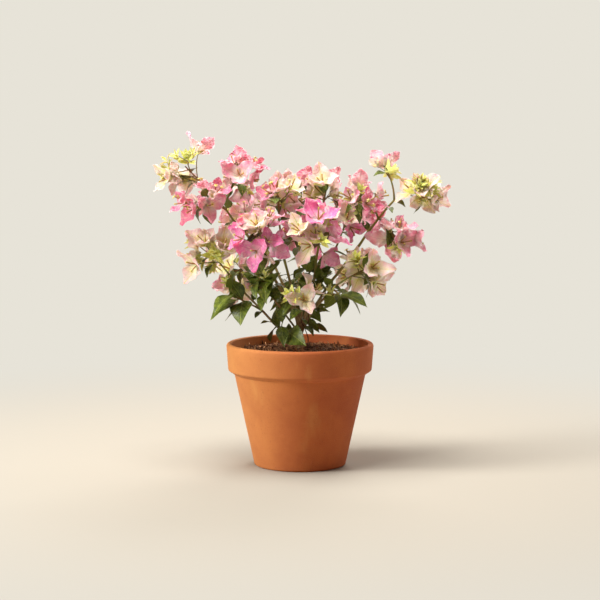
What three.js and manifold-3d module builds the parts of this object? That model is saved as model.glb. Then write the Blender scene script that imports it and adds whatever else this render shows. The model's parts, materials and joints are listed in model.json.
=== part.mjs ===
// A bougainvillea bush growing in a terracotta pot.
// Millimetres, +Z up. The origin is the centre of the pot's flat underside.
// The pot, its soil, the trunk and every bough are solids of their own. Each spray of
// flowers and leaves is one solid that keeps to its own space in the crown, and solids
// that meet are kept slightly clear of each other.

import * as THREE from 'three';
import { mergeVertices } from 'three/addons/utils/BufferGeometryUtils.js';
import Module from 'manifold-3d';

const wasm = await Module();
wasm.setup();

// ---- Driving dimensions ----

const clearance = 0.3; // between solids that meet
const mergeDistance = 1e-3; // vertices closer than this are one
const airGap = 0.6; // kept by the blades and twigs of one spray from everything else

const potSize = {
  height: 167,
  rimRadius: 100,
  bandHeight: 38, // the thick band under the rim
  bandFootRadius: 97.7,
  shoulderRadius: 89.1, // the body just under the band
  shoulderDrop: 4.5,
  baseRadius: 62.8,
  mouthRadius: 91.5, // inner wall, measured at mouthDepth under the rim
  mouthDepth: 7,
  floorRadius: 55.5,
  floorThickness: 12,
  drainRadius: 11,
  edgeRound: 3.2,
  lipRound: 4.2,
  roundSteps: 2,
  segments: 40,
};

const soilSize = {
  edgeHeight: 155,
  crownHeight: 160, // the flat patch round the trunk
  patchRadius: 16,
  moundSteps: 3,
  segments: 28,
};

const trunkSize = {
  tip: [-4, 0, 201],
  radii: [3.5, 2.8],
  flareRadius: 3, // added at the soil, and gone a few millimetres above it
  flareHeight: 5,
  sides: 10,
};

const boughSides = 6;
const nodeSpacing = 24; // a cane bends a little at each of its nodes
const nodeWobble = 1.1;

// Each bough: name, parent, place along the parent, tip, upward arch, radius at root and tip.
const boughTable = [
  ['right_stem', 'trunk', 0.42, [13, -4, 208], -3, [2.3, 2.0]],
  ['low_left_bough', 'trunk', 0.14, [-50, -12, 211], -5, [2.0, 1.6]],
  ['low_left_arm', 'low_left_bough', 1, [-92, -20, 258], -4, [1.5, 1.3]],
  ['left_bough', 'trunk', 1, [-74, 10, 316], 4, [2.2, 1.7]],
  ['upper_left_bough', 'left_bough', 1, [-100, 9, 347], -3, [1.6, 1.4]],
  ['centre_left_bough', 'trunk', 0.93, [-24, -38, 298], 8, [2.0, 1.6]],
  ['top_left_bough', 'centre_left_bough', 1, [-28, -32, 334], 2, [1.4, 1.3]],
  ['centre_bough', 'right_stem', 0.93, [25, -32, 302], 6, [1.9, 1.6]],
  ['right_bough', 'right_stem', 1, [106, 5, 335], 3, [2.0, 1.6]],
  ['right_arm', 'right_bough', 1, [127, 4, 360], 2, [1.5, 1.4]],
  ['low_right_bough', 'right_stem', 0.7, [42, -26, 243], 3, [1.7, 1.4]],
  ['front_bough', 'trunk', 0.75, [3, -32, 214], 1, [1.6, 1.3]],
  ['back_left_bough', 'trunk', 0.86, [-46, 56, 290], 12, [2.1, 1.6]],
  ['back_right_bough', 'trunk', 0.62, [48, 54, 288], 10, [2.1, 1.6]],
  ['back_bough', 'trunk', 0.74, [0, 72, 292], 8, [2.0, 1.5]],
  ['top_back_bough', 'back_bough', 1, [2, 60, 328], 2, [1.4, 1.3]],
];

const smallLeaf = [24, 34]; // shortest and longest, among the flowers
const bigLeaf = [38, 56]; // low on the plant
const crownHeart = new THREE.Vector3(0, 0, 235); // every spray faces away from here

// Each spray: name, parent and place along it, centre and half sizes of its space, how many
// flower heads, tufts of young leaves and leaves it grows, leaf sizes, tint and seed.
const sprayTable = [
  ['left_tip', 'upper_left_bough', 1, [-155, 6, 406], [44, 34, 46], 4, 2, 5, smallLeaf, 'blush', 2360837],
  ['left_mid', 'upper_left_bough', 1, [-130, -26, 360], [40, 34, 32], 3, 0, 4, smallLeaf, 'rose', 1224894],
  ['left_upper', 'upper_left_bough', 1, [-82, -6, 398], [34, 34, 32], 4, 0, 5, smallLeaf, 'rose', 1069120],
  ['left_low', 'low_left_arm', 1, [-122, -18, 294], [42, 34, 34], 4, 4, 5, smallLeaf, 'cream', 193110],
  ['left_leaf', 'low_left_bough', 1, [-90, -38, 234], [40, 34, 28], 0, 1, 8, bigLeaf, 'green', 2567],
  ['foot_leaf', 'trunk', 0.36, [-30, -32, 194], [26, 24, 20], 0, 0, 7, bigLeaf, 'green', 3598],
  ['middle_leaf', 'trunk', 0.55, [-50, -34, 250], [34, 30, 28], 0, 1, 12, bigLeaf, 'green', 427],
  ['centre_left', 'centre_left_bough', 1, [-48, -66, 318], [40, 38, 38], 5, 0, 4, smallLeaf, 'rose', 98211],
  ['top_left', 'top_left_bough', 1, [-28, -24, 366], [38, 38, 28], 5, 0, 4, smallLeaf, 'rose', 1553908],
  ['top_right', 'centre_bough', 1, [34, -12, 374], [36, 36, 30], 4, 1, 4, smallLeaf, 'pink', 1182784],
  ['centre_front', 'centre_bough', 1, [24, -88, 318], [44, 36, 38], 5, 1, 4, smallLeaf, 'rose', 493952],
  ['right_inner', 'right_bough', 1, [80, -10, 367], [32, 34, 36], 4, 1, 5, smallLeaf, 'pink', 680863],
  ['right_tip', 'right_arm', 1, [163, 6, 374], [40, 32, 34], 4, 2, 5, smallLeaf, 'blush', 755983],
  ['right_top', 'right_arm', 1, [116, 6, 404], [26, 26, 28], 1, 1, 4, smallLeaf, 'pink', 494382],
  ['right_mid', 'right_bough', 1, [128, -8, 309], [34, 32, 26], 3, 0, 4, smallLeaf, 'pink', 1531625],
  ['right_low', 'low_right_bough', 1, [90, -28, 271], [36, 32, 28], 4, 2, 4, smallLeaf, 'cream', 261785],
  ['right_leaf', 'low_right_bough', 1, [56, -42, 231], [38, 30, 30], 0, 1, 7, bigLeaf, 'green', 1613],
  ['front_low', 'front_bough', 1, [6, -60, 230], [30, 28, 26], 2, 1, 4, smallLeaf, 'cream', 212835],
  ['heart_leaf', 'trunk', 1, [16, -14, 260], [36, 32, 28], 0, 0, 12, bigLeaf, 'green', 187],
  ['back_left', 'back_left_bough', 1, [-66, 66, 332], [44, 42, 42], 5, 1, 6, smallLeaf, 'pink', 45],
  ['back_right', 'back_right_bough', 1, [66, 64, 334], [44, 42, 42], 5, 1, 6, smallLeaf, 'rose', 391],
  ['back_top', 'top_back_bough', 1, [2, 52, 363], [36, 36, 28], 4, 0, 5, smallLeaf, 'rose', 200],
  ['back_mid', 'back_bough', 1, [0, 90, 314], [42, 36, 36], 4, 1, 6, smallLeaf, 'pink', 649],
  ['back_low_left', 'back_left_bough', 1, [-84, 58, 258], [40, 38, 30], 3, 1, 7, smallLeaf, 'blush', 13],
  ['back_low_right', 'back_right_bough', 1, [84, 56, 260], [40, 38, 30], 3, 1, 7, smallLeaf, 'cream', 164],
  ['back_leaf', 'trunk', 0.4, [0, 52, 236], [36, 32, 26], 0, 0, 11, bigLeaf, 'green', 114],
];

const stemSize = { radii: [1.9, 1.4], steps: 4, sides: 3 };
const twigSize = { radii: [1.0, 0.8], steps: 2, sides: 3 };
const rootDepth = 0.4; // how far a leaf's root is sunk past the middle of what carries it
const cupCount = 3; // blades in a cup, and sides of its twig
const bracts = { opening: [38, 62], length: [27, 34], width: 0.7, hub: 2.4 };
const buds = { opening: [36, 58], length: [11, 17], width: 0.44, hub: 1.5 };
const leaves = { lean: [40, 70], droop: [0.1, 0.8], roll: 0.4, width: 0.56 };
const blade = { widest: 0.45, fold: 0.08, droop: 0.06, thickness: 0.9 };
const shrinkSteps = [1, 0.82, 0.66]; // sizes tried before a blade is skipped
const lowestBlade = 168; // blades stay above the rim of the pot

const colours = {
  clay: 0xb9683b,
  soil: 0x3a2a21,
  bark: 0x6e5238,
  rose: 0xdb7099,
  pink: 0xe79bb7,
  blush: 0xeec3bd,
  cream: 0xe9d7b4,
  green: 0x3f6b35,
};

// ---- Small helpers ----

const up = new THREE.Vector3(0, 0, 1);
const vec = (xyz) => new THREE.Vector3(...xyz);
const mix = (a, b, t) => a.clone().lerp(b, t);

// A repeatable stream of numbers from 0 to 1.
class Dice {
  constructor(seed) {
    this.state = seed;
    for (let i = 0; i < 4; i++) this.next();
  }

  next() {
    this.state = (1664525 * this.state + 1013904223) % 4294967296;
    return this.state / 4294967296;
  }

  between(low, high) {
    return low + (high - low) * this.next();
  }
}

// A soft bend from start to end, pulled towards a control point.
function bend(start, control, end, steps) {
  const curve = new THREE.QuadraticBezierCurve3(start, control, end);
  return curve.getPoints(steps);
}

// The point and direction at a fraction of a path's steps.
function along(path, fraction) {
  const place = fraction * (path.length - 1);
  const index = Math.min(Math.floor(place), path.length - 2);
  const direction = path[index + 1].clone().sub(path[index]).normalize();
  return { point: mix(path[index], path[index + 1], place - index), direction };
}

// Two directions square to a given one.
function squareTo(direction) {
  const reference = Math.abs(direction.z) < 0.9 ? up : new THREE.Vector3(1, 0, 0);
  const side = direction.clone().cross(reference).normalize();
  return [side, direction.clone().cross(side)];
}

function toSolid(vertices, triangles) {
  const vertProperties = new Float32Array(vertices.flatMap((v) => [v.x, v.y, v.z]));
  return new wasm.Manifold(
    new wasm.Mesh({ numProp: 3, vertProperties, triVerts: new Uint32Array(triangles.flat()) }),
  );
}

function toGeometry(solid) {
  const mesh = solid.getMesh();
  const geometry = new THREE.BufferGeometry();
  geometry.setAttribute('position', new THREE.BufferAttribute(mesh.vertProperties.slice(), 3));
  geometry.setIndex([...mesh.triVerts]);
  return geometry;
}

// Keeps the shell with the most faces, which fills sealed pockets and drops loose scraps.
// Faces belong to one shell where they share an edge.
function mainShell(geometry) {
  const merged = mergeVertices(geometry, mergeDistance);
  const index = [...merged.getIndex().array];
  const faces = [];
  for (let t = 0; t < index.length; t += 3) {
    const face = index.slice(t, t + 3);
    if (new Set(face).size === 3) faces.push(face);
  }
  const faceOfEdge = new Map();
  faces.forEach(([a, b, c], f) => {
    for (const [from, to] of [[a, b], [b, c], [c, a]]) faceOfEdge.set(`${from} ${to}`, f);
  });
  const shellOf = new Array(faces.length).fill(-1);
  const shells = [];
  faces.forEach((_, seed) => {
    if (shellOf[seed] >= 0) return;
    const shell = [seed];
    shellOf[seed] = shells.length;
    for (let i = 0; i < shell.length; i++) {
      const [a, b, c] = faces[shell[i]];
      for (const [from, to] of [[a, b], [b, c], [c, a]]) {
        const neighbour = faceOfEdge.get(`${to} ${from}`);
        if (neighbour === undefined || shellOf[neighbour] >= 0) continue;
        shellOf[neighbour] = shells.length;
        shell.push(neighbour);
      }
    }
    shells.push(shell);
  });
  const largest = shells.reduce((best, shell) => (shell.length > best.length ? shell : best));
  merged.setIndex(largest.flatMap((f) => faces[f]));
  return mergeVertices(merged.toNonIndexed(), mergeDistance);
}

// ---- Pot and soil ----

// Points of a quarter round from one direction to another.
function quarterRound(centreRadius, centreHeight, radius, fromDegrees, toDegrees) {
  const steps = potSize.roundSteps;
  return Array.from({ length: steps + 1 }, (_, i) => {
    const angle = THREE.MathUtils.degToRad(fromDegrees + ((toDegrees - fromDegrees) * i) / steps);
    return new THREE.Vector2(
      centreRadius + radius * Math.cos(angle), centreHeight + radius * Math.sin(angle));
  });
}

function innerWallRadius(height) {
  const { height: top, mouthDepth, mouthRadius, floorRadius, floorThickness } = potSize;
  const share = (height - floorThickness) / (top - mouthDepth - floorThickness);
  return floorRadius + (mouthRadius - floorRadius) * share;
}

function latheSolid(profile, segments) {
  const geometry = new THREE.LatheGeometry(profile, segments);
  geometry.deleteAttribute('normal');
  geometry.deleteAttribute('uv');
  geometry.rotateX(Math.PI / 2);
  return mergeVertices(geometry, 1e-4);
}

function potGeometry() {
  const p = potSize;
  const round = p.edgeRound;
  const bandFoot = p.height - p.bandHeight;
  const lipCentre = p.rimRadius - p.lipRound;
  const profile = [
    new THREE.Vector2(p.drainRadius, 0),
    ...quarterRound(p.baseRadius - round, round, round, -90, 0),
    new THREE.Vector2(p.shoulderRadius, bandFoot - p.shoulderDrop),
    ...quarterRound(p.bandFootRadius - round, bandFoot + round, round, -80, 0),
    ...quarterRound(lipCentre, p.height - p.lipRound, p.lipRound, 0, 135),
    new THREE.Vector2(p.mouthRadius, p.height - p.mouthDepth),
    new THREE.Vector2(p.floorRadius, p.floorThickness),
    new THREE.Vector2(p.drainRadius, p.floorThickness),
    new THREE.Vector2(p.drainRadius, 0),
  ];
  return latheSolid(profile, p.segments);
}

function soilGeometry() {
  const { edgeHeight, crownHeight, patchRadius, moundSteps, segments } = soilSize;
  const bottom = potSize.floorThickness + clearance;
  const edge = innerWallRadius(edgeHeight) - clearance;
  const profile = [
    new THREE.Vector2(0, bottom),
    new THREE.Vector2(innerWallRadius(bottom) - clearance, bottom),
  ];
  for (let i = 0; i <= moundSteps; i++) {
    const share = i / moundSteps;
    const rise = (1 - Math.cos(Math.PI * share)) / 2;
    profile.push(new THREE.Vector2(
      edge + (patchRadius - edge) * share, edgeHeight + (crownHeight - edgeHeight) * rise));
  }
  profile.push(new THREE.Vector2(0, crownHeight));
  return latheSolid(profile, segments);
}

// ---- Limbs ----

// Rings of points along a path. The last ring starts on the side that it is given.
function ringsAlong(path, radiusAt, sides, lastSide) {
  const last = path.length - 1;
  let side = lastSide ?? squareTo(path[last].clone().sub(path[last - 1]).normalize())[0];
  const rings = [];
  for (let i = last; i >= 0; i--) {
    const direction = path[Math.min(i + 1, last)].clone().sub(path[Math.max(i - 1, 0)]).normalize();
    side = side.clone().addScaledVector(direction, -side.dot(direction)).normalize();
    const other = direction.clone().cross(side);
    const radius = radiusAt(i / last, path[i]);
    rings.unshift(Array.from({ length: sides }, (_, k) => {
      const turn = (2 * Math.PI * k) / sides;
      return path[i].clone()
        .addScaledVector(side, radius * Math.cos(turn))
        .addScaledVector(other, radius * Math.sin(turn));
    }));
  }
  return rings;
}

// The walls between rings, with a flat cap on the first ring.
function wallTriangles(rings) {
  const sides = rings[0].length;
  const triangles = [];
  for (let start = 0; start < (rings.length - 1) * sides; start += sides) {
    for (let k = 0; k < sides; k++) {
      const next = (k + 1) % sides;
      triangles.push([start + k, start + next, start + sides + next]);
      triangles.push([start + k, start + sides + next, start + sides + k]);
    }
  }
  for (let k = 1; k < sides - 1; k++) triangles.push([0, k + 1, k]);
  return triangles;
}

// A limb along a path, with a flat cap at each end.
function tube(path, radiusAt, sides) {
  const rings = ringsAlong(path, radiusAt, sides);
  const triangles = wallTriangles(rings);
  const last = (rings.length - 1) * sides;
  for (let k = 1; k < sides - 1; k++) triangles.push([last, last + k, last + k + 1]);
  return toSolid(rings.flat(), triangles);
}

const tapering = ([root, tip], extra = 0) => (share) => root + (tip - root) * share + extra;

function trunkPath() {
  const foot = new THREE.Vector3(0, 0, soilSize.crownHeight + clearance);
  const flareTop = foot.clone().addScaledVector(up, trunkSize.flareHeight);
  const control = foot.clone().addScaledVector(up, 4 * trunkSize.flareHeight);
  return [foot, ...bend(flareTop, control, vec(trunkSize.tip), 4)];
}

function trunkRadius(extra) {
  const taper = tapering(trunkSize.radii, extra);
  const ground = soilSize.crownHeight + clearance;
  return (share, point) => {
    const flare = Math.exp((-2 * (point.z - ground)) / trunkSize.flareHeight);
    return taper(share) + trunkSize.flareRadius * flare;
  };
}

// A cane from start to tip, which bows by its arch and turns a little at each node.
function canePath(start, tip, arch, dice) {
  const steps = Math.max(2, Math.round(start.distanceTo(tip) / nodeSpacing));
  const path = bend(start, mix(start, tip, 0.5).addScaledVector(up, arch), tip, steps);
  const [side, other] = squareTo(tip.clone().sub(start).normalize());
  for (let i = 1; i < steps; i++) {
    path[i].addScaledVector(side, dice.between(-nodeWobble, nodeWobble));
    path[i].addScaledVector(other, dice.between(-nodeWobble, nodeWobble));
  }
  return path;
}

function growLimbs() {
  const limbs = [{
    name: 'trunk',
    path: trunkPath(),
    grown: (extra) => tube(trunkPath(), trunkRadius(extra), trunkSize.sides),
  }];
  boughTable.forEach(([name, parent, place, tip, arch, radii], i) => {
    const start = along(limbs.find((limb) => limb.name === parent).path, place).point;
    const path = canePath(start, vec(tip), arch, new Dice(i + 11));
    limbs.push({ name, path, grown: (extra) => tube(path, tapering(radii, extra), boughSides) });
  });
  return limbs;
}

// ---- Sprays ----

function readSpray(row) {
  const [name, parent, place, centre, radii, heads, tufts, leafCount, leafLength, tint, seed] = row;
  return {
    name: `${name}_spray`,
    parent,
    place,
    centre: vec(centre),
    radii: vec(radii),
    size: (radii[0] + radii[1] + radii[2]) / 3,
    heads,
    tufts,
    leafCount,
    leafLength,
    tint,
    seed,
  };
}

// Each spray's space is cut off half way to its neighbours, more from the bigger of the two.
function keepsSpace(spray, sprays, point, gap) {
  const own = point.distanceToSquared(spray.centre) - spray.size ** 2;
  return sprays.every((other) => {
    if (other === spray) return true;
    const theirs = point.distanceToSquared(other.centre) - other.size ** 2;
    return theirs - own >= 2 * gap * spray.centre.distanceTo(other.centre);
  });
}

function sprayStem(spray, limbs) {
  const parentPath = limbs.find((limb) => limb.name === spray.parent).path;
  const { point: base, direction: parentWay } = along(parentPath, spray.place);
  const inward = spray.centre.clone().sub(base);
  const distance = inward.length();
  inward.divideScalar(distance);
  const leaving = spray.place < 1 ? inward.clone() : parentWay.clone();
  leaving.addScaledVector(inward, 2).normalize();
  const control = base.clone().addScaledVector(leaving, 0.4 * distance);
  return bend(base, control, spray.centre, stemSize.steps);
}

// The twigs of a spray, each with the way that its tip faces.
function growTwigs(spray, stem, dice, outward) {
  const shoots = 3; // on a spray that carries leaves alone
  const count = spray.heads + spray.tufts || shoots;
  return Array.from({ length: count }, (_, i) => {
    const turn = dice.between(0, 2 * Math.PI);
    const rise = dice.between(-1, 1);
    const reach = dice.between(0.3, 0.8);
    const flat = Math.sqrt(1 - rise * rise);
    const way = new THREE.Vector3(Math.cos(turn) * flat, Math.sin(turn) * flat, rise)
      .addScaledVector(outward, 0.35).normalize();
    const tip = spray.radii.clone().multiply(way).multiplyScalar(reach).add(spray.centre);
    const face = way.clone().addScaledVector(outward, 0.3).addScaledVector(up, 0.35).normalize();
    const foot = along(stem, 0.58 + (0.38 * (i + 0.5)) / count).point;
    const control = tip.clone().addScaledVector(face, -0.45 * foot.distanceTo(tip));
    const carries = i < spray.heads ? bracts : buds;
    return {
      path: bend(foot, control, tip, twigSize.steps),
      tip,
      face,
      carries: spray.heads + spray.tufts ? carries : null,
    };
  });
}

// Bracts or buds, which open like a cup round the tip of their twig.
function growCup(twig, dice) {
  const { opening, length, width } = twig.carries;
  const [side, other] = squareTo(twig.face);
  const roll = dice.between(0, 2 * Math.PI);
  return Array.from({ length: cupCount }, (_, k) => {
    const turn = roll + (k * 2 * Math.PI) / cupCount + dice.between(-0.05, 0.05);
    const outwards = side.clone().multiplyScalar(Math.cos(turn)).addScaledVector(other, Math.sin(turn));
    const angle = THREE.MathUtils.degToRad(dice.between(...opening));
    return {
      on: twig,
      root: twig.tip,
      turn,
      way: twig.face.clone().multiplyScalar(Math.cos(angle)).addScaledVector(outwards, Math.sin(angle)),
      top: twig.face.clone().multiplyScalar(Math.sin(angle)).addScaledVector(outwards, -Math.cos(angle)),
      length: dice.between(...length),
      width,
    };
  });
}

// Leaves set round the stem and the twigs by the golden angle, hanging by their own weight.
function growLeaves(spray, stem, twigs, dice, outward) {
  const goldenAngle = Math.PI * (3 - Math.sqrt(5));
  const carriers = [null, ...twigs];
  return Array.from({ length: spray.leafCount }, (_, j) => {
    const twig = carriers[j % carriers.length];
    const place = dice.between(0.15, 0.85);
    const turn = j * goldenAngle + dice.between(-0.6, 0.6);
    const lean = THREE.MathUtils.degToRad(dice.between(...leaves.lean));
    const droop = dice.between(...leaves.droop);
    const length = dice.between(...spray.leafLength);
    const roll = dice.between(-leaves.roll, leaves.roll);
    const { point, direction } = along(twig ? twig.path : stem, place);
    const [side, other] = squareTo(direction);
    const way = direction.clone().multiplyScalar(Math.cos(lean))
      .addScaledVector(side, Math.cos(turn) * Math.sin(lean))
      .addScaledVector(other, Math.sin(turn) * Math.sin(lean))
      .addScaledVector(up, -droop)
      .normalize();
    const sky = up.clone().addScaledVector(outward, 0.5);
    const flatTop = sky.addScaledVector(way, -sky.dot(way)).normalize();
    const top = flatTop.clone().multiplyScalar(Math.cos(roll))
      .addScaledVector(way.clone().cross(flatTop), Math.sin(roll));
    const root = point.addScaledVector(way, -rootDepth);
    return { on: twig, root, way, top, length, width: leaves.width };
  });
}

// A blade is a folded kite of eight faces: root, two sides, tip and its thickness between.
function bladeVertices({ root, way, top, length, width }, scale) {
  const size = length * scale;
  const across = way.clone().cross(top).multiplyScalar((size * width) / 2);
  const middle = root.clone().addScaledVector(way, blade.widest * size);
  const raised = middle.clone().addScaledVector(top, blade.fold * size);
  return [
    root.clone(),
    raised.clone().add(across),
    raised.clone().sub(across),
    root.clone().addScaledVector(way, size).addScaledVector(top, -blade.droop * size),
    middle.clone().addScaledVector(top, blade.thickness / 2),
    middle.clone().addScaledVector(top, -blade.thickness / 2),
  ];
}

const bladeTriangles = [
  [0, 1, 4], [1, 3, 4], [3, 2, 4], [2, 0, 4],
  [1, 0, 5], [3, 1, 5], [2, 3, 5], [0, 2, 5],
];

// A twig and the cup of blades that it opens into, as one closed skin. The blades share one
// outline, with a valley point between each two; their tops fan out from a point over the hub,
// and their undersides from the last ring of the twig. A blade with a scale of 0 is left out.
function cupSolid(twig, cup, scales) {
  const { hub } = twig.carries;
  const [side, other] = squareTo(twig.face);
  const hubPoint = (turn, out, lift) => twig.tip.clone()
    .addScaledVector(side, out * Math.cos(turn))
    .addScaledVector(other, out * Math.sin(turn))
    .addScaledVector(twig.face, lift);

  const firstSide = hubPoint(cup[0].turn, 1, 0).sub(twig.tip);
  const rings = ringsAlong(twig.path, tapering(twigSize.radii), cupCount, firstSide);
  const vertices = rings.flat();
  const triangles = wallTriangles(rings);
  const lastRing = vertices.length - cupCount;
  const outline = [];
  cup.forEach((leaf, k) => {
    outline.push({ blade: k, point: hubPoint(leaf.turn - Math.PI / cupCount, hub, 0.4 * hub) });
    if (!scales[k]) return;
    const [, right, left, tip] = bladeVertices(leaf, scales[k]);
    for (const point of [right, tip, left]) outline.push({ blade: k, point });
  });
  const first = vertices.length;
  const above = first + outline.length;
  outline.forEach(({ blade: k }, i) => {
    const next = (i + 1) % outline.length;
    const nextBlade = outline[next].blade;
    triangles.push([first + i, first + next, above]);
    triangles.push([first + next, first + i, lastRing + k]);
    if (nextBlade !== k) triangles.push([lastRing + k, lastRing + nextBlade, first + next]);
  });
  vertices.push(...outline.map(({ point }) => point), hubPoint(0, 0, hub));
  return toSolid(vertices, triangles);
}

const touches = (solid, others) => solid.intersect(others).getMesh().triVerts.length > 0;

// The stem, twigs, cups and leaves that stay in the spray's space and clear of every limb.
function spraySolids(spray, sprays, obstacles, limbs) {
  const dice = new Dice(spray.seed);
  const stem = sprayStem(spray, limbs);
  const outward = spray.centre.clone().sub(crownHeart).normalize();
  const inSpace = (point, gap) => keepsSpace(spray, sprays, point, gap);

  const fits = (leaf, scale) => {
    const vertices = bladeVertices(leaf, scale);
    return vertices.every((v) => v.z > lowestBlade && inSpace(v, airGap))
      && !touches(toSolid(vertices, bladeTriangles), obstacles);
  };
  const placed = []; // every blade so far, with what carries it
  const isClear = (leaf, scale) => {
    const solid = toSolid(bladeVertices(leaf, scale), bladeTriangles);
    return placed.every((other) => other.on === leaf.on || !touches(solid, other.solid));
  };
  const place = (leaf, scale) => {
    if (scale) placed.push({ on: leaf.on, solid: toSolid(bladeVertices(leaf, scale), bladeTriangles) });
    return scale;
  };

  const twigs = growTwigs(spray, stem, dice, outward);
  const cups = twigs.map((twig) => (twig.carries ? growCup(twig, dice) : []));
  const allLeaves = growLeaves(spray, stem, twigs, dice, outward);

  const solids = [tube(stem, tapering(stemSize.radii), stemSize.sides)];
  const keptTwigs = new Set([null]);
  twigs.forEach((twig, i) => {
    const solid = tube(twig.path, tapering(twigSize.radii), twigSize.sides);
    const margin = airGap + (twig.carries ? twig.carries.hub : twigSize.radii[0]);
    if (!twig.path.every((point) => inSpace(point, margin)) || touches(solid, obstacles)) return;
    keptTwigs.add(twig);
    if (!twig.carries) {
      solids.push(solid);
      return;
    }
    // A bract gives way to the flowers before it where it can, but the flower keeps all three.
    const scales = cups[i].map((leaf) => {
      const fitting = shrinkSteps.filter((scale) => fits(leaf, scale));
      return place(leaf, fitting.find((scale) => isClear(leaf, scale)) ?? fitting.at(-1) ?? 0);
    });
    solids.push(cupSolid(twig, cups[i], scales));
  });
  for (const leaf of allLeaves.filter(({ on }) => keptTwigs.has(on))) {
    const scale = place(leaf, shrinkSteps.find((size) => fits(leaf, size) && isClear(leaf, size)) ?? 0);
    if (scale) solids.push(toSolid(bladeVertices(leaf, scale), bladeTriangles));
  }
  return solids;
}

// ---- Assembly ----

const plant = new THREE.Group();
plant.name = 'potted_bougainvillea';

function addPiece(name, geometry, colour, roughness) {
  const material = new THREE.MeshStandardMaterial({ color: colour, roughness, metalness: 0 });
  const mesh = new THREE.Mesh(geometry, material);
  mesh.name = name;
  plant.add(mesh);
}

const join = (solids) => wasm.Manifold.union(solids);

addPiece('pot', potGeometry(), colours.clay, 0.85);
addPiece('soil', soilGeometry(), colours.soil, 1);

const limbs = growLimbs();
const widenedLimbs = limbs.map((limb) => limb.grown(clearance));
limbs.forEach((limb, i) => {
  const whole = limb.grown(0);
  const solid = i ? whole.subtract(join(widenedLimbs.slice(0, i))) : whole;
  addPiece(limb.name, mainShell(toGeometry(solid)), colours.bark, 0.8);
});

const sprays = sprayTable.map(readSpray);
const widenedStems = sprays.map((spray) => (extra) => (
  tube(sprayStem(spray, limbs), tapering(stemSize.radii, extra), stemSize.sides)));
const limbObstacles = limbs.map((limb) => limb.grown(airGap));
const limbsToClear = join(widenedLimbs);
sprays.forEach((spray, i) => {
  const otherStems = widenedStems.filter((_, k) => k !== i).map((stem) => stem(2 * airGap));
  const obstacles = join([...limbObstacles, ...otherStems]);
  const solids = spraySolids(spray, sprays, obstacles, limbs);
  const earlierStems = widenedStems.slice(0, i).map((stem) => stem(2 * clearance));
  const solid = join(solids).subtract(join([limbsToClear, ...earlierStems]));
  addPiece(spray.name, mainShell(toGeometry(solid)), colours[spray.tint], 0.7);
});

export default plant;
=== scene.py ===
import json
import math

import bpy
from mathutils import Matrix, Vector, noise
from mathutils.bvhtree import BVHTree

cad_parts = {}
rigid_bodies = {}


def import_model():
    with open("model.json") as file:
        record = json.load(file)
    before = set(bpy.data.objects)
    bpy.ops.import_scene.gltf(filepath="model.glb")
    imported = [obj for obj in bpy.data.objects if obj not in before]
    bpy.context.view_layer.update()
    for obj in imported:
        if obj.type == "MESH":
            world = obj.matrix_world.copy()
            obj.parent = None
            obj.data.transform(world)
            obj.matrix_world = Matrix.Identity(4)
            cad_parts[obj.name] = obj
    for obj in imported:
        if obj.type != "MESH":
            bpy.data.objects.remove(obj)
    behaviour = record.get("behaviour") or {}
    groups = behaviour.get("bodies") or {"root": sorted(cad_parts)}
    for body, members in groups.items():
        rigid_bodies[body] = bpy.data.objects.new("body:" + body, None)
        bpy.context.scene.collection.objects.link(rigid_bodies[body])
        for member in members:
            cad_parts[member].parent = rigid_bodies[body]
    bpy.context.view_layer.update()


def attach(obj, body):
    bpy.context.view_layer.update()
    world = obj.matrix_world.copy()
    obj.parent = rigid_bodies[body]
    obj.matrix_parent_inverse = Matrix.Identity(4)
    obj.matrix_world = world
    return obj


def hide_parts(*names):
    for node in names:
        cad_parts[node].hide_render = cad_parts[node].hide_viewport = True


# The looks of a bougainvillea bush in a clay pot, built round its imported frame.
# The plant is grown in millimetres, +Z up, and every mesh is made in metres.

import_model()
mm = 0.001

up = Vector((0, 0, 1))
goldenAngle = math.pi * (3 - math.sqrt(5))
bakeMap = "OFBake"  # the UV map that the blades' patterns read


class Dice:  # a repeatable stream of numbers from 0 to 1
    def __init__(self, seed):
        self.state = seed
        for _ in range(4):
            self.next()

    def next(self):
        self.state = (1664525 * self.state + 1013904223) % 4294967296
        return self.state / 4294967296

    def between(self, low, high):
        return low + (high - low) * self.next()

    def whole(self, count):
        return int(self.next() * count)


def bend(start, control, end, steps):
    points = []
    for i in range(steps + 1):
        t = i / steps
        points.append(start * (1 - t) ** 2 + control * (2 * t * (1 - t)) + end * t * t)
    return points


# The point and direction at a fraction of a path's steps.
def along(path, fraction):
    place = fraction * (len(path) - 1)
    index = min(int(place), len(path) - 2)
    direction = (path[index + 1] - path[index]).normalized()
    return path[index].lerp(path[index + 1], place - index), direction


def squareTo(direction):
    reference = up if abs(direction.z) < 0.9 else Vector((1, 0, 0))
    side = direction.cross(reference).normalized()
    return side, direction.cross(side)


# A direction square to another, from two that are, at a turn round it.
def outAt(side, other, turn):
    return side * math.cos(turn) + other * math.sin(turn)


def wayAt(turn, rise):
    flat = math.sqrt(1 - rise * rise)
    return Vector((math.cos(turn) * flat, math.sin(turn) * flat, rise))


def smooth(value, low, high):
    share = min(1, max(0, (value - low) / (high - low)))
    return share * share * (3 - 2 * share)


# The faces between two rings of points, by the first number of each.
def bandFaces(a, b, count):
    turned = [(k + 1) % count for k in range(count)]
    return [(a + k, a + turned[k], b + turned[k], b + k) for k in range(count)]


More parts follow.
